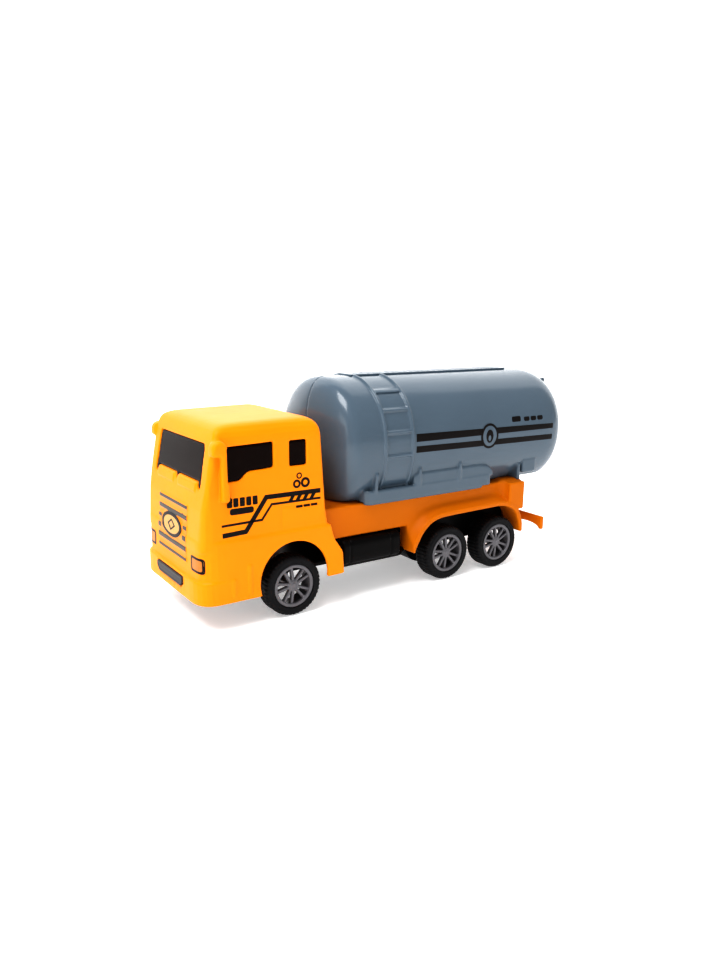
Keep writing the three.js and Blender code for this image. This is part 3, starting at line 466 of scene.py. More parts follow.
class Nodes:
    """A material's node tree, with short ways to add to it."""

    def __init__(self, name, **shader):
        self.material = bpy.data.materials.new(name)
        self.material.use_nodes = True
        self.tree = self.material.node_tree
        self.shader = self.tree.nodes["Principled BSDF"]
        for socket, value in shader.items():
            self.shader.inputs[socket.replace("_", " ")].default_value = value
        self.place = self.add("ShaderNodeTexCoord").outputs["Object"]

    def add(self, kind, **settings):
        node = self.tree.nodes.new(kind)
        for key, value in settings.items():
            setattr(node, key, value)
        return node

    def link(self, output, target):
        self.tree.links.new(output, target)

    def noise(self, scale, detail=3.0, roughness=0.5, stretch=(1, 1, 1)):
        """Noise with features of about 1/scale metres."""
        mapping = self.add("ShaderNodeMapping")
        mapping.inputs["Scale"].default_value = stretch
        self.link(self.place, mapping.inputs["Vector"])
        node = self.add("ShaderNodeTexNoise")
        node.inputs["Scale"].default_value = scale
        node.inputs["Detail"].default_value = detail
        node.inputs["Roughness"].default_value = roughness
        self.link(mapping.outputs["Vector"], node.inputs["Vector"])
        return node.outputs["Fac"]

    def ramp(self, value, stops):
        """A colour ramp from (place, colour) stops."""
        node = self.add("ShaderNodeValToRGB")
        elements = node.color_ramp.elements
        while len(elements) < len(stops):
            elements.new(0.5)
        for element, (place, colour) in zip(elements, stops):
            element.position = place
            element.color = (*colour, 1)
        self.link(value, node.inputs["Fac"])
        return node.outputs["Color"]

    def remap(self, value, low, high, start=0.3, end=0.7):
        node = self.add("ShaderNodeMapRange")
        for socket, number in zip(
            ("From Min", "From Max", "To Min", "To Max"), (start, end, low, high)
        ):
            node.inputs[socket].default_value = number
        self.link(value, node.inputs["Value"])
        return node.outputs["Result"]

    def mix(self, factor, first, second):
        node = self.add("ShaderNodeMix", data_type="RGBA")
        self.link(factor, node.inputs["Factor"])
        self.link(first, node.inputs[6])
        self.link(second, node.inputs[7])
        return node.outputs[2]

    def colour(self, output):
        self.link(output, self.shader.inputs["Base Color"])

    def roughness(self, output):
        self.link(output, self.shader.inputs["Roughness"])

    def bump(self, heights):
        """Surface relief from (output, height in metres) pairs, one on top of another."""
        normal = None
        for output, height in heights:
            node = self.add("ShaderNodeBump")
            node.inputs["Strength"].default_value = 1.0
            node.inputs["Distance"].default_value = height
            self.link(output, node.inputs["Height"])
            if normal:
                self.link(normal, node.inputs["Normal"])
            normal = node.outputs["Normal"]
        self.link(normal, self.shader.inputs["Normal"])


def scaled(colour, factor):
    return tuple(min(1.0, c * factor) for c in colour)


def moulded_plastic(name, colour, gloss, ripple=2e-5, grain=3e-6, shine=0.5, **shader):
    """Moulded plastic: cloudy pigment, flow marks, faint sink ripple, grain and handling marks."""
    nodes = Nodes(name, Specular_IOR_Level=shine, **shader)
    cloud = nodes.noise(45, 4)
    flow = nodes.noise(70, 3, 0.6, (1, 0.25, 1))
    tints = [(0.25, scaled(colour, 0.93)), (0.5, colour), (0.8, scaled(colour, 1.05))]
    tint = nodes.ramp(cloud, tints)
    streak = nodes.ramp(flow, [(0.3, scaled(colour, 0.96)), (0.7, scaled(colour, 1.03))])
    nodes.colour(nodes.mix(nodes.remap(nodes.noise(20), 0.2, 0.6), tint, streak))
    scuffs = nodes.noise(900, 2, 0.7, (1, 0.15, 1))
    nodes.roughness(nodes.remap(scuffs, gloss - 0.015, gloss + 0.03))
    nodes.bump([(nodes.noise(110, 2), ripple), (nodes.noise(5200, 2), grain)])
    return nodes.material


def print_ink(name, colour):
    """Stamped ink: nearly flat, with slight variation in cover."""
    nodes = Nodes(name, Specular_IOR_Level=0.15)
    cover = nodes.noise(1400, 3)
    nodes.colour(nodes.ramp(cover, [(0.3, scaled(colour, 0.9)), (0.75, scaled(colour, 1.15))]))
    nodes.roughness(nodes.remap(cover, 0.32, 0.46))
    nodes.bump([(nodes.noise(4000, 2), 4e-6)])
    return nodes.material


def soft_rubber(name, colour):
    nodes = Nodes(name, Specular_IOR_Level=0.2)
    dust = nodes.noise(260, 5, 0.65)
    shades = [(0.35, colour), (0.62, scaled(colour, 1.3)), (0.8, scaled(colour, 2.2))]
    nodes.colour(nodes.ramp(dust, shades))
    nodes.roughness(nodes.remap(dust, 0.48, 0.64))
    nodes.bump([(nodes.noise(3000, 4), 1.2e-5)])
    return nodes.material


def turned_steel(name, colour):
    nodes = Nodes(name, Metallic=1.0)
    turning = nodes.noise(900, 3, 0.6, (12, 1, 1))
    nodes.colour(nodes.ramp(turning, [(0.3, scaled(colour, 0.8)), (0.7, colour)]))
    nodes.roughness(nodes.remap(turning, 0.22, 0.4))
    nodes.bump([(turning, 4e-6)])
    return nodes.material


ORANGE = moulded_plastic("orange_plastic", (0.97, 0.29, 0.001), 0.4, shine=0.15)
# The deck's orange is deeper than the cab's: partly the deck moulding's own deeper tone, partly
# painted shade for the deck sides that lie shadowed under the tank.
DECK_ORANGE_AND_SHADE = moulded_plastic("deck_orange_and_shade", (0.62, 0.17, 0.001), 0.4, shine=0.12)
BLACK = moulded_plastic("black_plastic", (0.003, 0.0025, 0.0025), 0.4, shine=0.12)
GLAZING = moulded_plastic("dark_glazing", (0.008, 0.003, 0.002), 0.2, 1e-5, 1e-6, shine=0.07)
PLATE = moulded_plastic("plate_plastic", (0.035, 0.033, 0.036), 0.55, 1e-5, 8e-6)
GREY = moulded_plastic("grey_plastic", (0.088, 0.124, 0.16), 0.18, 3e-5, 2e-6, shine=0.45)
SILVER = moulded_plastic("silver_plastic", (0.135, 0.13, 0.14), 0.34, 1e-5, 6e-6, Metallic=0.35)
NYLON = moulded_plastic("white_plastic", (0.74, 0.72, 0.66), 0.5)
TYRE = soft_rubber("tyre", (0.006, 0.006, 0.007))
STEEL = turned_steel("steel", (0.55, 0.55, 0.56))
INK = print_ink("print_black", (0.008, 0.006, 0.006))
GRILLE_INK = print_ink("print_grille", (0.075, 0.068, 0.062))
AMBER_INK = print_ink("print_amber", (0.55, 0.2, 0.04))
# Deeper orange ink: painted shade for the hollows between the grille's ribs.
GRILLE_SHADE_INK = print_ink("print_grille_shade", (0.75, 0.26, 0.02))
CREAM_INK = print_ink("print_cream", (0.62, 0.34, 0.11))

# ---- Cab ----


def rounded_front(half_width, front, corner, rear):
    """A plan with rounded front corners."""
    ends = [(-half_width, front, corner), (half_width, front, corner)]
    return ends + [(half_width, rear), (-half_width, rear)]


def cab_upper(g):
    plan = rounded_front(CAB_HALF_WIDTH, CAB_FRONT_Y, CAB_CORNER, PLAN_REAR_Y)
    section = [
        (-CAB_HALF_WIDTH, UPPER_BOTTOM),
        (-CAB_HALF_WIDTH + ROOF_TAPER, ROOF_Z, ROOF_CORNER),
        (CAB_HALF_WIDTH - ROOF_TAPER, ROOF_Z, ROOF_CORNER),
        (CAB_HALF_WIDTH, UPPER_BOTTOM),
    ]
    profile = region(g.y, g.z, CAB_PROFILE)
    upright = both(profile, region(g.x, g.y, plan), CAB_EDGE)
    return both(upright, both(profile, region(g.x, g.z, section), CAB_EDGE))


def cab_lower(g):
    plan = rounded_front(SKIRT_HALF_WIDTH, SKIRT_FRONT_Y, SKIRT_CORNER, PLAN_REAR_Y)
    return both(region(g.y, g.z, SKIRT_PROFILE), region(g.x, g.y, plan), 0.8)


def bumper(g):
    plan = rounded_front(SKIRT_HALF_WIDTH, BUMPER_FRONT_Y, SKIRT_CORNER, BUMPER_REAR_Y)
    return both(region(g.x, g.y, plan), g.z - BUMPER_TOP, 0.6)


def cab_body(g):
    """The cab as a filled shape that runs on below its hem."""
    return either(either(cab_upper(g), cab_lower(g), 0.5), bumper(g), 0.5)


def cab_windows(g, grow=0.0):
    """The window openings, each only where it cuts its own wall."""
    screen = both(region(g.x, g.z, WINDSCREEN) - grow, g.y + SIDE_WALL_X)
    side = both(region(g.y, g.z, SIDE_WINDOW) - grow, SIDE_WALL_X - g.out)
    quarter = both(region(g.y, g.z, QUARTER_WINDOW) - grow, SIDE_WALL_X - g.out)
    return either(either(screen, side), quarter)


def mirror(g):
    """A wing mirror: an arm arched out from the pillar, a hanging bar and its foot."""
    arm = slab(region(g.y, g.z, MIRROR_ARM), g.out, *MIRROR_ARM_X, 1.3)
    hanging = cuboid(g, MIRROR_BAR, 0.9)
    foot = cuboid(g, MIRROR_FOOT, 0.5)
    return either(either(arm, hanging, 0.7), foot, 0.6)


def grille_heights():
    return [GRILLE["low"] + index * GRILLE["pitch"] for index in range(GRILLE["bars"])]


def front_relief(g, body):
    """The raised blocks under the windscreen, the ribs of the grille and the badge's seat."""
    ahead = g.y - FRONT_WALL_Y
    proud = body - BROW["proud"]
    wide = between(g.out, BROW["inner_x"], BROW["outer_x"])
    blocks = both(both(wide, between(g.z, BROW["low"], BROW["high"]), 0.8), ahead)
    relief = both(proud, blocks, 0.3)
    half = GRILLE["height"] / 2
    for middle in grille_heights():
        rib = both(g.out - GRILLE["half_width"], between(g.z, middle - half, middle + half), 0.4)
        relief = either(relief, both(proud, both(rib, ahead), 0.25))
    badge = np.hypot(g.x / BADGE["half_width"], (g.z - BADGE["z"]) / BADGE["half_height"]) - 1
    seat = both(badge * BADGE["half_height"], ahead)
    return either(relief, both(body - BADGE["proud"], seat, 0.3))


def side_relief(g, body):
    """Shallow grooves: the door's rear panel, and two ribs low down ahead of the wheel."""
    corner = (DOOR_LINE["y"], DOOR_LINE["top"])
    upright = bar(g.y, g.z, (DOOR_LINE["y"], BELT_Z + 0.6), corner, 0.22)
    across = bar(g.y, g.z, corner, (DOOR_LINE["rear"], DOOR_LINE["top"]), 0.16)
    grooves = both(np.minimum(upright, across), -(body + DOOR_LINE["depth"]))
    ribs = FAR
    for y, top in SIDE_RIBS:
        rib = bar(g.y, g.z, (y, SIDE_RIB["bottom"]), (y, top), SIDE_RIB["half_width"])
        ribs = either(ribs, both(rib, body - SIDE_RIB["proud"], 0.3))
    return both(grooves, SIDE_WALL_X - g.out), both(ribs, SIDE_WALL_X - g.out)


def cab_shell():
    g = Block((-29.5, -37.2, 8.5), (29.5, 22.5, 72.5), STEP)
    body = cab_body(g)
    grooves, ribs = side_relief(g, body)
    outer = either(either(body, front_relief(g, body), 0.2), ribs, 0.3)
    shell = without(without(outer, grooves, 0.12), body + WALL)
    deck_room = both(g.out - DECK_ROOM["half_width"], DECK_ROOM["front"] - g.y)
    shell = without(shell, both(deck_room, g.z - DECK_ROOM["top"]))
    arch = disc(g.y, g.z, (ARCH["y"], ARCH["z"]), ARCH["radius"])
    shell = without(shell, both(arch, ARCH["inner_x"] - g.out), 0.5)
    shell = both(shell, region(g.y, g.z, HEM), 0.4)
    shell = either(shell, without(mirror(g), body + WALL), 0.5)
    shell = without(shell, cab_windows(g), 0.3)
    plate_room = region(g.x, g.z, grown_plate(PLATE_ROOM_GAP))
    shell = without(shell, both(plate_room, g.y - PLATE_ROOM_REAR_Y), 0.15)
    for side in (-1, 1):
        post = disc(g.x, g.y, (side * POST_X, CAB_POST_Y), POST_RADIUS)
        pilot = disc(g.x, g.y, (side * POST_X, CAB_POST_Y), PILOT_RADIUS)
        post = both(without(post, pilot), between(g.z, POST_BOTTOM, CAB_POST_TOP))
        shell = either(shell, post, 0.3)
    return moulded("cab_moulding", g, shell)


def cab_glazing():
    """One moulding: a band inside three walls, with panes that fill the openings."""
    g = Block((-27.5, -35.5, 45.5), (27.5, 9, 67), STEP)
    body = cab_upper(g)
    height = between(g.z, GLAZING_BAND["low"], GLAZING_BAND["high"])
    band = both(both(body + GLAZING_BAND["inset"], height), g.y - GLAZING_BAND["rear"], 0.4)
    panes = both(body + PANE_INSET, cab_windows(g, -PANE_GAP), 0.25)
    return moulded("cab_windows", g, without(either(band, panes), body + GLAZING_BAND["inside"]))


def grown_plate(grow):
    half = PLATE_BLANK["half_width"] + grow
    foot = half - PLATE_BLANK["chamfer"]
    low, high = PLATE_BLANK["low"] - grow, PLATE_BLANK["high"] + grow
    shoulder = PLATE_BLANK["shoulder"]
    left = [(-half, high), (-half, shoulder), (-foot, low)]
    corners = left + [(-x, z) for x, z in reversed(left)]
    return [(*corner, PLATE_CORNER) for corner in corners]


def bumper_plate():
    g = Block((-13, -37, 12.3), (13, -33.8, 18), FINE_STEP)
    plate = slab(region(g.x, g.z, grown_plate(0)), g.y, *PLATE_Y, 0.25)
    inside_rim = region(g.x, g.z, grown_plate(-PLATE_RIM["width"]))
    sunk = both(inside_rim, g.y - PLATE_Y[0] - PLATE_RIM["depth"])
    return moulded("number_plate_blank", g, without(plate, sunk, 0.12))


# ---- Deck ----


def fender(g):
    """A flare that leaves the deck's side in a hollow curve and ends in an upright lip."""
    reach = region(g.y, g.z, WHEEL_ROOM)
    share = np.clip((reach - LIP) / FLARE_REACH, 0, 1)
    root = DECK_HALF_WIDTH - FLARE_ROOT
    width = root + (FENDER_HALF_WIDTH - root) * (1 - share) ** FLARE_POWER
    shape = both((g.out - width) / FLARE_SLOPE, reach - LIP - FLARE_REACH)
    shape = both(shape, FENDER_BOTTOM - g.z, 0.3)
    return both(shape, between(g.y, FENDER_FRONT_Y, DECK_REAR_Y), 0.4)


def rear_bar(g):
    """The bar behind the deck, arched at each end, and its two arms."""
    across = (g.out - REAR_BAR_ARCH["x"]) / REAR_BAR_ARCH["half_width"]
    up = (g.z - REAR_BAR_ARCH["z"]) / REAR_BAR_ARCH["height"]
    arch = (np.hypot(across, up) - 1) * REAR_BAR_ARCH["height"]
    shape = without(cuboid(g, REAR_BAR, 0.35), arch, 0.3)
    return either(shape, cuboid(g, REAR_BAR_ARMS, 0.4), 0.6)


def deck_frame():
    g = Block((-28, 13.4, 11.7), (28, 127.6, 37.2), STEP)
    wall = cuboid(g, DECK_WALL, 0.5)
    corner = cuboid(g, DECK_CORNER, 0.6)
    solid = either(either(wall, corner, 3.5), fender(g), 0.6)
    ahead, behind = (cuboid(g, spans) for spans in DECK_CAVITIES)
    cavity = both(either(ahead, behind), g.z - DECK_CAVITY_TOP)
    room = both(region(g.y, g.z, WHEEL_ROOM), WHEEL_ROOM_INNER_X - g.out)
    solid = without(without(solid, cavity, 0.2), room, 0.45)
    solid = either(solid, cuboid(g, DECK_TAIL, 0.3), 0.2)
    solid = either(solid, rear_bar(g), 0.4)
    for y in DECK_POSTS_Y:
        for side in (-1, 1):
            post = disc(g.x, g.y, (side * POST_X, y), POST_RADIUS)
            pilot = disc(g.x, g.y, (side * POST_X, y), PILOT_RADIUS)
            solid = either(solid, both(post, between(g.z, POST_BOTTOM, DECK_POST_TOP)), 0.3)
            solid = without(solid, both(pilot, g.z - DECK_PILOT_TOP))
    return moulded("deck_moulding", g, solid)


# ---- Tank ----


def tank_surface(g):
    """Distance to the tank's plain outside, a rounded tube with domed ends."""
    across = g.out / TANK_HALF_WIDTH
    up = np.abs(g.z - TANK_CENTRE_Z) / TANK_HALF_HEIGHT
    tube = across**SQUARENESS + up**SQUARENESS
    front = np.clip((TANK_FRONT_Y + FRONT_DOME - g.y) / FRONT_DOME, 0, None)
    rear = np.clip((g.y - TANK_REAR_Y + REAR_DOME) / REAR_DOME, 0, None)
    along = (front + rear) ** DOME_POWER
    field = (tube ** (DOME_POWER / SQUARENESS) + along) ** (1 / DOME_POWER) - 1
    slopes = np.gradient(field, g.step)
    steepness = np.sqrt(sum(s * s for s in slopes))
    return field / np.maximum(steepness, 0.02)


def ladder(g, surface):
    """Two rails over the tank and the rungs between them."""
    shape = FAR
    for z in LADDER_RUNGS:
        middle = z + LADDER_LEAN * (TANK_HALF_WIDTH - g.out)
        rung = both(surface - RUNG["proud"], np.abs(g.z - middle) - RUNG["half_width"], 0.35)
        shape = np.minimum(shape, rung)
    shape = both(shape, between(g.y, *LADDER_RAILS))
    for y in LADDER_RAILS:
        width = between(g.y, y - RAIL["half_width"], y + RAIL["half_width"])
        shape = np.minimum(shape, both(surface - RAIL["proud"], width, 0.4))
    shape = both(shape, -surface - 1)
    return both(both(shape, LADDER_BOTTOM - g.z), LADDER_END_X - g.out)


def running_board(g):
    """The running board with its ledge, the pad behind the ladder, and the gussets."""
    plan = region(g.out, g.y, BOARD_PLAN)
    board = slab(plan, g.z, *BOARD_Z, 0.6)
    edge = both(cuboid(g, BOARD_EDGE, 0.6), plan, 0.6)
    pad = slab(region(g.y, g.z, PAD_SIDE), g.out, *PAD_X, 0.8)
    shape = either(either(board, edge), pad, 0.35)
    for y in GUSSETS_Y:
        low, high = y - GUSSET_HALF_WIDTH, y + GUSSET_HALF_WIDTH
        web = slab(region(g.out, g.z, GUSSET), g.y, low, high, 0.25)
        shape = either(shape, web, 0.25)
    return shape


def rear_fittings(g):
    fin = cuboid(g, REAR_FIN, 0.4)
    cabinet = cuboid(g, CABINET, 0.5)
    return either(either(fin, cabinet, 0.4), cuboid(g, LUG, 0.5))


def tank_field(g):
    surface = tank_surface(g)
    shape = either(surface, ladder(g, surface), 0.35)
    shape = either(shape, running_board(g), 0.35)
    shape = either(shape, rear_fittings(g), 0.3)
    shape = without(shape, cuboid(g, SEAT, 0.1), 0.15)
    shape = without(shape, cuboid(g, TANK_DECK_ROOM, 0.1), 0.1)
    shape = both(shape, TANK_BOTTOM - g.z, 0.4)
    return without(shape, surface + TANK_WALL)


def tank_half(name, side):
    low = (-1, TANK_FRONT_Y - MARGIN, 34.2)
    high = (TANK_HALF_WIDTH + 2, TANK_REAR_Y + MARGIN, 84)
    g = Block(low, high, STEP)
    half = both(tank_field(g), 0.06 - g.x, 0.12)
    piece = moulded(f"tank_moulding_{name}", g, half)
    if side < 0:
        flip(piece)
    return piece


def flip(piece):
    """Turns a left-hand piece into its right-hand twin."""
    places = np.empty(len(piece.data.vertices) * 3, np.float32)
    piece.data.vertices.foreach_get("co", places)
    places[0::3] *= -1
    piece.data.vertices.foreach_set("co", places)
    piece.data.flip_normals()


def walkway():
    """The strip along the top, with a raised edge and a line of treads."""
    g = Block((-5, 37, 81), (5, 121, 83.4), FINE_STEP)
    strip = cuboid(g, STRIP, 0.15)
    half_pitch = TREADS["pitch"] / 2
    across = np.abs((g.y - TREADS["front"]) % TREADS["pitch"] - half_pitch) - TREADS["half_gap"]
    length = between(g.y, TREADS["front"], TREADS["rear"])
    pocket = both(across, g.out - TREADS["half_width"], 0.2)
    pocket = both(pocket, both(length, TREADS["floor"] - g.z))
    return moulded("tank_walkway_strip", g, without(strip, pocket, 0.1))


# ---- Base plate ----


def side_tank(g):
    """The moulded tank on each side of the base, with two shallow grooves round it."""
    section = region(g.out, g.z, SIDE_TANK_SECTION)
    shape = both(section, between(g.y, *SIDE_TANK_Y), 0.9)
    front, rear = (np.abs(g.y - y) for y in SIDE_TANK_GROOVES_Y)
    grooves = np.minimum(front, rear) - 0.3
    return without(shape, both(grooves, -(section + 0.35)), 0.15)


def block_at(g, size, y, rounding):
    """A box centred on y, with its spans along x and z given."""
    length = (y - size["half_length"], y + size["half_length"])
    return cuboid(g, (size["x"], length, size["z"]), rounding)


def base_plate():
    g = Block((-25.4, -32, 6.4), (25.4, 111.8, 24.4), STEP)
    plate = slab(region(g.out, g.y, BASE_HALF_PLAN), g.z, *BASE_Z, 0.3)
    shape = either(plate, side_tank(g), 0.4)
    for row in ROWS:
        shape = either(shape, block_at(g, BEARING, axle_y(row), 0.6), 0.6)
    shape = either(shape, cuboid(g, BASE_WALL, 0.3), 0.3)
    for y in BASE_RIBS_Y:
        shape = either(shape, block_at(g, BASE_RIB, y, 0.2), 0.2)
    motor_y = axle_y("middle")
    length = (motor_y - MOTOR_ROOM["ahead"], motor_y + MOTOR_ROOM["behind"])
    motor_room = cuboid(g, (MOTOR_ROOM["x"], length, (-FAR, FAR)), 0.2)
    shape = without(shape, motor_room, 0.3)
    for row in ROWS:
        shape = without(shape, disc(g.y, g.z, (axle_y(row), WHEEL_RADIUS), BORE_RADIUS), 0.1)
    for y in (CAB_POST_Y, *DECK_POSTS_Y):
        for side in (-1, 1):
            shape = without(shape, disc(g.x, g.y, (side * POST_X, y), SCREW_HOLE_RADIUS), 0.15)
    return moulded("base_moulding", g, shape)


# ---- Wheels ----


def wheel_hub():
    """One wheel centre round the origin, with twin spokes, facing +X."""
    g = Block((15.2, -9, -9), (27, 9, 9), FINE_STEP)
    radius = np.hypot(g.y, g.z)
    sector = 2 * math.pi / SPOKE_PAIRS
    angle = np.arctan2(g.z, g.y) % sector - sector / 2
    along, across = radius * np.cos(angle), np.abs(radius * np.sin(angle))
    from_nose = radius - HUB_FACE["nose_radius"]
    face = HUB_FACE["x"] - HUB_FACE["nose"] * np.minimum(from_nose, 0) ** 2
    face = face - HUB_FACE["dish"] * np.maximum(from_nose, 0) ** 2
    spoke = bar(along, across, SPOKE["start"], SPOKE["end"], SPOKE["half_width"])
    spokes = both(spoke, between(g.x, face - SPOKE["depth"], face), 0.35)
    barrel = both(between(radius, BARREL["inner"], RIM_RADIUS), between(g.x, *BARREL["x"]), 0.25)
    lip = both(between(radius, RIM_LIP["inner"], RIM_RADIUS), between(g.x, *RIM_LIP["x"]), 0.3)
    boss = both(radius - BOSS["radius"], between(g.x, *BOSS["x"]), 0.4)
    cap = both(radius - CAP["radius"], between(g.x, *CAP["x"]), 0.3)
    shape = either(either(barrel, lip, 0.2), spokes, 0.35)
    shape = either(either(shape, boss, 0.5), cap, 0.2)
    bore = both(radius - HUB_BORE["radius"], g.x - HUB_BORE["end_x"])
    return moulded("hub_pattern", g, without(shape, bore))


def tread_depth(i, radius, x):
    """How far a point is sunk: a groove round the tread's middle, and gaps between its blocks."""
    if abs(x - TYRE_MIDDLE_X) < CENTRE_GROOVE["half_width"]:
        return CENTRE_GROOVE["depth"]
    phase = (i / POINTS_PER_BLOCK + 0.5) % 1
    in_gap = phase < TREAD_GAP["share"] and radius > TREAD_GAP["inner_radius"]
    return TREAD_GAP["depth"] if in_gap else 0


def tyre_mesh():
    """One tyre round the origin: moulded tread blocks, a raised sidewall band and a bead."""
    count = TREAD_BLOCKS * POINTS_PER_BLOCK
    points = []
    for i in range(count):
        angle = 2 * math.pi * i / count
        for radius, x in TYRE_PROFILE:
            r = radius - tread_depth(i, radius, x)
            points.append((x, r * math.cos(angle), r * math.sin(angle)))
    ring = len(TYRE_PROFILE)
    faces = []
    for i in range(count):
        here, ahead = i * ring, (i + 1) % count * ring
        for j in range(ring):
            beside = (j + 1) % ring
            faces.append((here + j, here + beside, ahead + beside, ahead + j))
    return np.array(points), np.array(faces)


# ---- Assembly ----


def build_body():
    fit(cab_shell(), BODY, ORANGE, "orange_plastic", "cab_shell")
    fit(cab_glazing(), BODY, GLAZING, "dark_glazing", "cab_glazing")
    fit(bumper_plate(), BODY, PLATE, "plate_plastic", "bumper_plate")
    # The deck gets the deeper orange, part its own tone and part painted shade.
    fit(deck_frame(), BODY, DECK_ORANGE_AND_SHADE, "orange_plastic", "deck_frame")
    fit(base_plate(), BODY, BLACK, "black_plastic", "base_plate")
    fit(walkway(), BODY, GREY, "grey_plastic", "tank_walkway")
    for name, side in SIDES.items():
        fit(tank_half(name, side), BODY, GREY, "grey_plastic", f"tank_half_{name}")


def gear_finish(node, width):
    """Softens a machined CAD node's edges where they are sharp."""
    piece = frame["nodes"][node]
    weld = piece.modifiers.new("weld", "WELD")
    weld.merge_threshold = 1e-6
    dissolve = piece.modifiers.new("flats", "DECIMATE")
    dissolve.decimate_type = "DISSOLVE"
    dissolve.angle_limit = math.radians(1)
    bevel = piece.modifiers.new("edges", "BEVEL")
    bevel.width = width * MM
    bevel.segments = 2
    bevel.limit_method = "ANGLE"
    bevel.angle_limit = math.radians(35)
    piece.modifiers.new("normals", "WEIGHTED_NORMAL").keep_sharp = True


def repaint(node, material):
    slots = frame["nodes"][node].data.materials
    slots.clear()
    slots.append(material)


def finish_inner_parts():
    """The pieces inside the truck keep their CAD shapes, with softened edges."""
    for node in ("drive_gear", "idler_gear"):
        repaint(node, NYLON)
        gear_finish(node, 0.12)
    for name in SIDES:
        repaint(f"motor_case_{name}", BLACK)
        gear_finish(f"motor_case_{name}", 0.3)
    for node in ("idler_pin", "flywheel_pinion", "flywheel", *(f"axle_{row}" for row in ROWS)):
        repaint(node, STEEL)
        gear_finish(node, 0.12)


def screw_mesh():
    """A pan-head screw round the origin with a cross recess, pointing up."""
    g = Block((-2.7, -2.7, -2.1), (2.7, 2.7, 9.5), SCREW_STEP)
    radius = np.hypot(g.x, g.y)
    head = np.hypot(radius, (g.z + 0.1) * SCREW_HEAD["squash"]) - SCREW_HEAD["radius"]
    head = both(head, between(g.z, *SCREW_HEAD["z"]), 0.15)
    turns = (g.z * THREAD["turns_per_mm"] + np.arctan2(g.y, g.x) / (2 * math.pi)) % 1.0
    ridge = THREAD["height"] * np.clip(1 - np.abs(turns - 0.5) * 3, 0, 1)
    point = (THREAD["z"][1] - g.z) * 0.5
    shank = both(radius - np.minimum(THREAD["core"] + ridge, point), between(g.z, *THREAD["z"]))
    long, short, depth = CROSS_RECESS
    one, other = (long, short, depth), (short, long, depth)
    cross = np.minimum(cuboid(g, one, 0.05), cuboid(g, other, 0.05))
    return moulded("screw_pattern", g, without(either(head, shank, 0.15), cross, 0.05))


def copies(pattern, placings, material, slot):
    """Copies of a pattern mesh, each moved in metres and standing for one CAD node."""
    for node, (name, offset, mirrored) in placings.items():
        piece = placed(name, pattern.data.copy())
        if mirrored:
            flip(piece)
        piece.data.transform(Matrix.Translation(Vector(offset)))
        fit(piece, frame["nodes"][node]["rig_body"], material, slot, node)
    bpy.data.objects.remove(pattern)


def build_screws():
    placings = {}
    for node in frame["nodes"]:
        if "screw" in node:
            low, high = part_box(node)
            middle = (low + high) / 2
            offset = (middle.x, middle.y - FRONT_AXLE_Y, low.z + SCREW_HEAD_HEIGHT * MM)
            placings[node] = (f"{node}_detail", offset, False)
    copies(screw_mesh(), placings, STEEL, "steel")


def build_wheels():
    points, faces = tyre_mesh()
    patterns = {
        "tyre": (new_object("tyre_pattern", points, faces), TYRE, "tyre"),
        "hub": (wheel_hub(), SILVER, "silver_plastic"),
    }
    for kind, (pattern, material, slot) in patterns.items():
        placings = {}
        for row in ROWS:
            for side in SIDES:
                offset = (0, axle_y(row) * MM, WHEEL_RADIUS * MM)
                node = f"{kind}_{row}_{side}"
                placings[node] = (f"{node}_detail", offset, side == "right")
        copies(pattern, placings, material, slot)


# ---- Prints ----


def ribbon(points, width):
    """The outline of a line of the given width through points, mitred at its bends."""
    points = [np.array(p, float) for p in points]
    left, right = [], []
    for i, point in enumerate(points):
        before = points[max(i - 1, 0)]
        after = points[min(i + 1, len(points) - 1)]
        into, out = point - before, after - point
        into = into / (np.linalg.norm(into) or 1)
        out = out / (np.linalg.norm(out) or 1)
        if i == 0:
            into = out
        if i == len(points) - 1:
            out = into
        middle = into + out
        middle /= np.linalg.norm(middle)
        normal = np.array((-middle[1], middle[0]))
        reach = width / 2 / max(np.dot(normal, (-into[1], into[0])), 0.4)
        left.append(tuple(point + normal * reach))
        right.append(tuple(point - normal * reach))
    return left + right[::-1]


def rectangle(u0, u1, v0, v1, radius=0.25):
    return outline([(u0, v0, radius), (u1, v0, radius), (u1, v1, radius), (u0, v1, radius)], 4)


def ellipse(centre, half_width, half_height, sides=48):
    u, v = centre
    turns = [2 * math.pi * i / sides for i in range(sides)]
    return [(u + half_width * math.cos(a), v + half_height * math.sin(a)) for a in turns]


def flat_mesh(outlines):
    """A filled flat mesh from outlines, where an outline inside another is a hole."""
    curve = bpy.data.curves.new("print", "CURVE")
    curve.dimensions = "2D"
    curve.fill_mode = "BOTH"
    for points in outlines:
        spline = curve.splines.new("POLY")
        spline.points.add(len(points) - 1)
        for corner, (u, v) in zip(spline.points, points):
            corner.co = (u, v, 0, 1)
        spline.use_cyclic_u = True
    holder = placed("print", curve)
    bpy.context.view_layer.update()
    mesh = bpy.data.meshes.new_from_object(holder)
    bpy.data.objects.remove(holder)
    return mesh


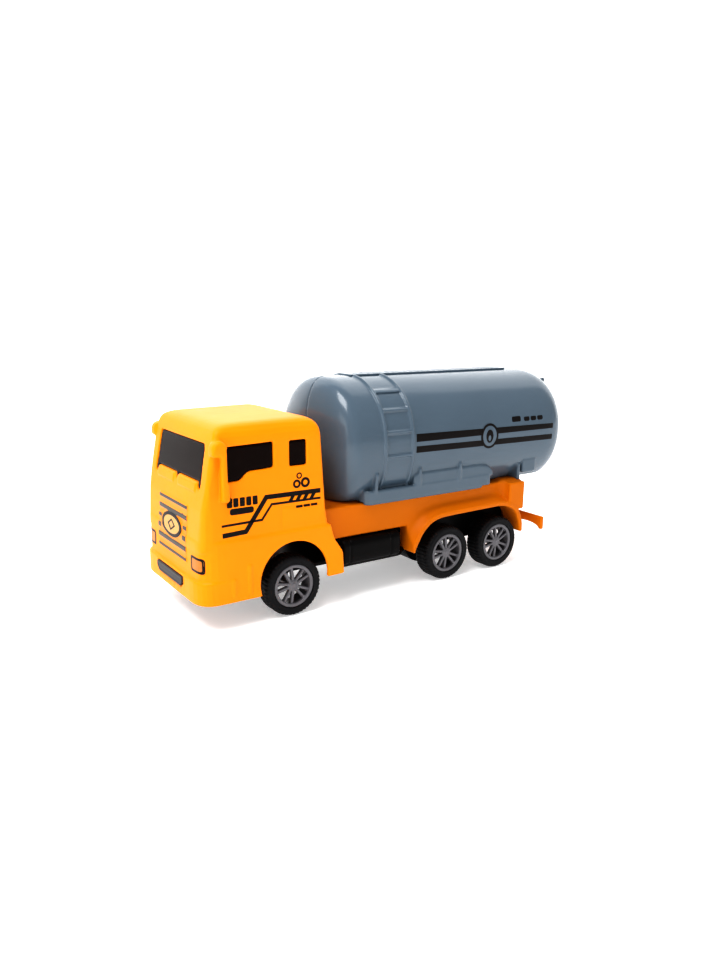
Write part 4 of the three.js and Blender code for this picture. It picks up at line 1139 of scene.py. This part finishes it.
def stamp(name, outlines, target, place, towards, material, pitch=1.0, lift=PRINT_LIFT):
    """A thin print: a flat mesh cut small enough to bend, then laid on the target piece."""
    mesh = flat_mesh(outlines)
    work = bmesh.new()
    work.from_mesh(mesh)
    bpy.data.meshes.remove(mesh)
    bmesh.ops.remove_doubles(work, verts=work.verts, dist=1e-3)
    for axis in (0, 1):
        values = [vertex.co[axis] for vertex in work.verts]
        normal = Vector((1, 0, 0)) if axis == 0 else Vector((0, 1, 0))
        for cut in np.arange(math.floor(min(values)), max(values), pitch):
            parts = [*work.verts, *work.edges, *work.faces]
            bmesh.ops.bisect_plane(work, geom=parts, plane_co=normal * cut, plane_no=normal)
    tree = BVHTree.FromObject(target, bpy.context.evaluated_depsgraph_get())
    direction = Vector(towards)
    lost = []
    for vertex in work.verts:
        start = Vector(to_frame(np.array(place(vertex.co.x, vertex.co.y))))
        hit = tree.ray_cast(start, direction)[0]
        if hit is None:
            lost.append(vertex)
            continue
        vertex.co = hit - direction * lift * MM
    bmesh.ops.delete(work, geom=lost, context="VERTS")
    bmesh.ops.recalc_face_normals(work, faces=work.faces)
    outward = sum((face.normal * face.calc_area() for face in work.faces), Vector())
    if outward.dot(direction) > 0:
        bmesh.ops.reverse_faces(work, faces=work.faces)
    done = bpy.data.meshes.new(name)
    work.to_mesh(done)
    work.free()
    piece = placed(name, done)
    thick = piece.modifiers.new("ink", "SOLIDIFY")
    thick.thickness = PRINT_DEPTH * MM
    thick.offset = -1
    done.materials.append(material)
    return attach(piece, BODY)




def slant(index):
    """One of the slanted blocks between the stripes."""
    low, high = SLANTS["z"]
    left = SLANTS["left"] + index * SLANTS["pitch"]
    top = left + SLANTS["lean"]
    width = SLANTS["width"]
    return [(left, low), (left + width, low), (top + width, high), (top, high)]


def dashes(row, radius):
    """A row of short bars."""
    lefts = [row["left"] + index * row["pitch"] for index in range(row["count"])]
    return [rectangle(left, left + row["width"], *row["z"], radius) for left in lefts]


def side_printer(target, name, side, pitch):
    """A function that stamps prints on one side of a piece."""

    def place(y, z):
        return (side * FAR, y, z)

    def put(kind, outlines, material=INK, lift=PRINT_LIFT):
        print_name = f"print_{kind}_{name}"
        stamp(print_name, outlines, target, place, (-side, 0, 0), material, pitch, lift)

    return put


def cab_side_prints(cab, name, side):
    put = side_printer(cab, name, side, 2.0)
    put("thick_stripe", [ribbon(THICK_STRIPE, 1.6)])
    put("thin_stripe", [ribbon(THIN_STRIPE, 0.75)])
    put("slants", [slant(index) for index in range(SLANTS["count"])])
    words = []
    for index in range(WORD_BARS["count"]):
        left = WORD_BARS["left"] + index * WORD_BARS["pitch"]
        right = left + WORD_BARS["width"]
        words.append(rectangle(left, right, WORD_BARS["low"], WORD_BARS["high"], 0.4))
    put("door_blocks", words)
    put("door_lozenge", [rectangle(*DOOR_LOZENGE, 0.9)])
    put("rear_dashes", dashes(DOOR_DASHES, 0.2))
    for index, (centre, outer, inner) in enumerate(RINGS):
        rings = [ellipse(centre, outer, outer, 32), ellipse(centre, inner, inner, 32)]
        put(f"ring_{index}", rings)




def cab_front_prints(cab):
    def place(x, z):
        return (x, -FAR, z)

    def put(kind, outlines, material, lift=PRINT_LIFT):
        stamp(f"print_{kind}", outlines, cab, place, (0, 1, 0), material, 1.0, lift)

    half = GRILLE["half_width"] - 0.2
    heights = grille_heights()
    strips = []
    for middle, height in zip(heights, BAR_HEIGHTS):
        low, high = middle - height / 2, middle + height / 2
        if abs(middle - BADGE["z"]) < BADGE_CLEARANCE["up"]:
            strips.append(rectangle(-half, -BADGE_CLEARANCE["across"], low, high))
            strips.append(rectangle(BADGE_CLEARANCE["across"], half, low, high))
        else:
            strips.append(rectangle(-half, half, low, high))
    put("grille", strips, GRILLE_INK, LIFTS["disc"])
    # A deeper orange panel under the grille bars: painted shade between the ribs.
    put("grille_shade_panel", [rectangle(-half, half, heights[0], heights[-1])], GRILLE_SHADE_INK, LIFTS["panel"])
    badge = (0, BADGE["z"])
    put("badge_disc", [ellipse(badge, *BADGE_DISC)], CREAM_INK, LIFTS["badge"])
    put("badge_ring", [ellipse(badge, *size) for size in BADGE_RINGS], INK, BADGE_LIFTS["ring"])
    diamonds = [ellipse(badge, *size, 4) for size in BADGE_DIAMONDS]
    put("badge_diamond", diamonds, INK, BADGE_LIFTS["mark"])
    for name, side in SIDES.items():
        left, right = sorted((side * HEADLAMP["inner_x"], side * HEADLAMP["outer_x"]))
        low, high = HEADLAMP["low"], HEADLAMP["high"]
        outer = rectangle(left, right, low, high, 1.1)
        inner = rectangle(left + 0.9, right - 0.9, low + 0.8, high - 0.8, 0.7)
        lens = rectangle(left + 0.3, right - 0.3, low + 0.4, high - 0.4, 0.8)
        put(f"headlamp_ring_{name}", [outer, inner], INK, LIFTS["frame"])
        put(f"headlamp_lens_{name}", [lens], AMBER_INK)




def tank_prints(tank, name, side):
    put = side_printer(tank, name, side, 1.0)
    put("tank_stripes", TANK_STRIPES)
    put("tank_emblem_disc", [ellipse(EMBLEM, *EMBLEM_DISC)], GREY, LIFTS["disc"])
    rings = [ellipse(EMBLEM, *size) for size in EMBLEM_RINGS]
    put("tank_emblem_ring", rings, INK, LIFTS["emblem"])
    y, z = EMBLEM
    drop = [ellipse((y, z - 0.1), 1.9, 2.7, 24), ellipse((y, z - 0.9), 0.8, 1.2, 24)]
    put("tank_emblem_core", drop, INK, LIFTS["emblem"])
    put("tank_dashes", [rectangle(*TANK_LOZENGE, 0.7), *dashes(TANK_DASHES, 0.5)])


# ---- Stage ----


def build_camera():
    data = bpy.data.cameras.new("camera")
    data.lens = CAMERA_LENS
    data.clip_start = 0.01
    data.clip_end = 20
    camera = placed("camera", data)
    azimuth, elevation = math.radians(CAMERA_AZIMUTH), math.radians(CAMERA_ELEVATION)
    level = math.cos(elevation)
    back = Vector((math.sin(azimuth) * level, -math.cos(azimuth) * level, math.sin(elevation)))
    right = Vector((math.cos(azimuth), math.sin(azimuth), 0))
    up = back.cross(right)
    turn = Matrix((right, up, back)).transposed().to_4x4()
    roll = Matrix.Rotation(math.radians(CAMERA_ROLL), 4, "Z")
    camera.matrix_world = Matrix.Translation(CAMERA_PLACE) @ turn @ roll
    bpy.context.scene.camera = camera


def paper(name, glow):
    """White paper, lit a little from behind."""
    white = (1, 1, 1, 1)
    nodes = Nodes(name, Roughness=0.9, Emission_Color=white, Emission_Strength=glow)
    shades = [(0.3, (0.87, 0.87, 0.87)), (0.7, (0.9, 0.9, 0.9))]
    nodes.colour(nodes.ramp(nodes.noise(6, 2), shades))
    return nodes.material


def build_backdrop():
    """A pale floor, and an upright sheet behind the truck."""
    azimuth = math.radians(CAMERA_AZIMUTH)
    far = (-BACKDROP_DISTANCE * math.sin(azimuth), BACKDROP_DISTANCE * math.cos(azimuth), 1)
    for name, place, turn, glow in (
        ("floor", (0, 0, 0), (0, 0, 0), 0.3),
        ("sheet", far, (math.pi / 2, 0, azimuth), 1.0),
    ):
        bpy.ops.mesh.primitive_plane_add(size=BACKDROP_SIZE, location=place, rotation=turn)
        piece = bpy.context.object
        piece.name = name
        piece.data.materials.append(paper(f"{name}_paper", glow))


def softbox(name, place, target, size, power):
    data = bpy.data.lights.new(name, "AREA")
    data.shape = "RECTANGLE"
    data.size, data.size_y = size
    data.energy = power
    lamp = placed(name, data)
    lamp.location = place
    aim = Vector(target) - Vector(place)
    lamp.rotation_euler = aim.to_track_quat("-Z", "Y").to_euler()


def build_lights():
    middle = (0, 0, 0.04)
    softbox("key", (0.1, -0.4, 0.8), middle, (0.45, 0.45), 5.4)
    softbox("front", (0.1, -0.8, 0.25), middle, (0.4, 0.3), 0.5)
    world = bpy.data.worlds.new("studio")
    world.use_nodes = True
    background = world.node_tree.nodes["Background"]
    background.inputs["Color"].default_value = (1, 1, 1, 1)
    background.inputs["Strength"].default_value = 0.5
    bpy.context.scene.world = world
    bpy.context.scene.view_settings.view_transform = "Standard"
    bpy.context.scene.view_settings.look = "High Contrast"


# ---- Scene ----

build_camera()
build_backdrop()
build_lights()
build_body()
build_wheels()
build_screws()
finish_inner_parts()
cab = bpy.data.objects["cab_moulding"]
cab_front_prints(cab)
for side_name, side_sign in SIDES.items():
    cab_side_prints(cab, side_name, side_sign)
    tank = bpy.data.objects[f"tank_moulding_{side_name}"]
    tank_prints(tank, side_name, side_sign)
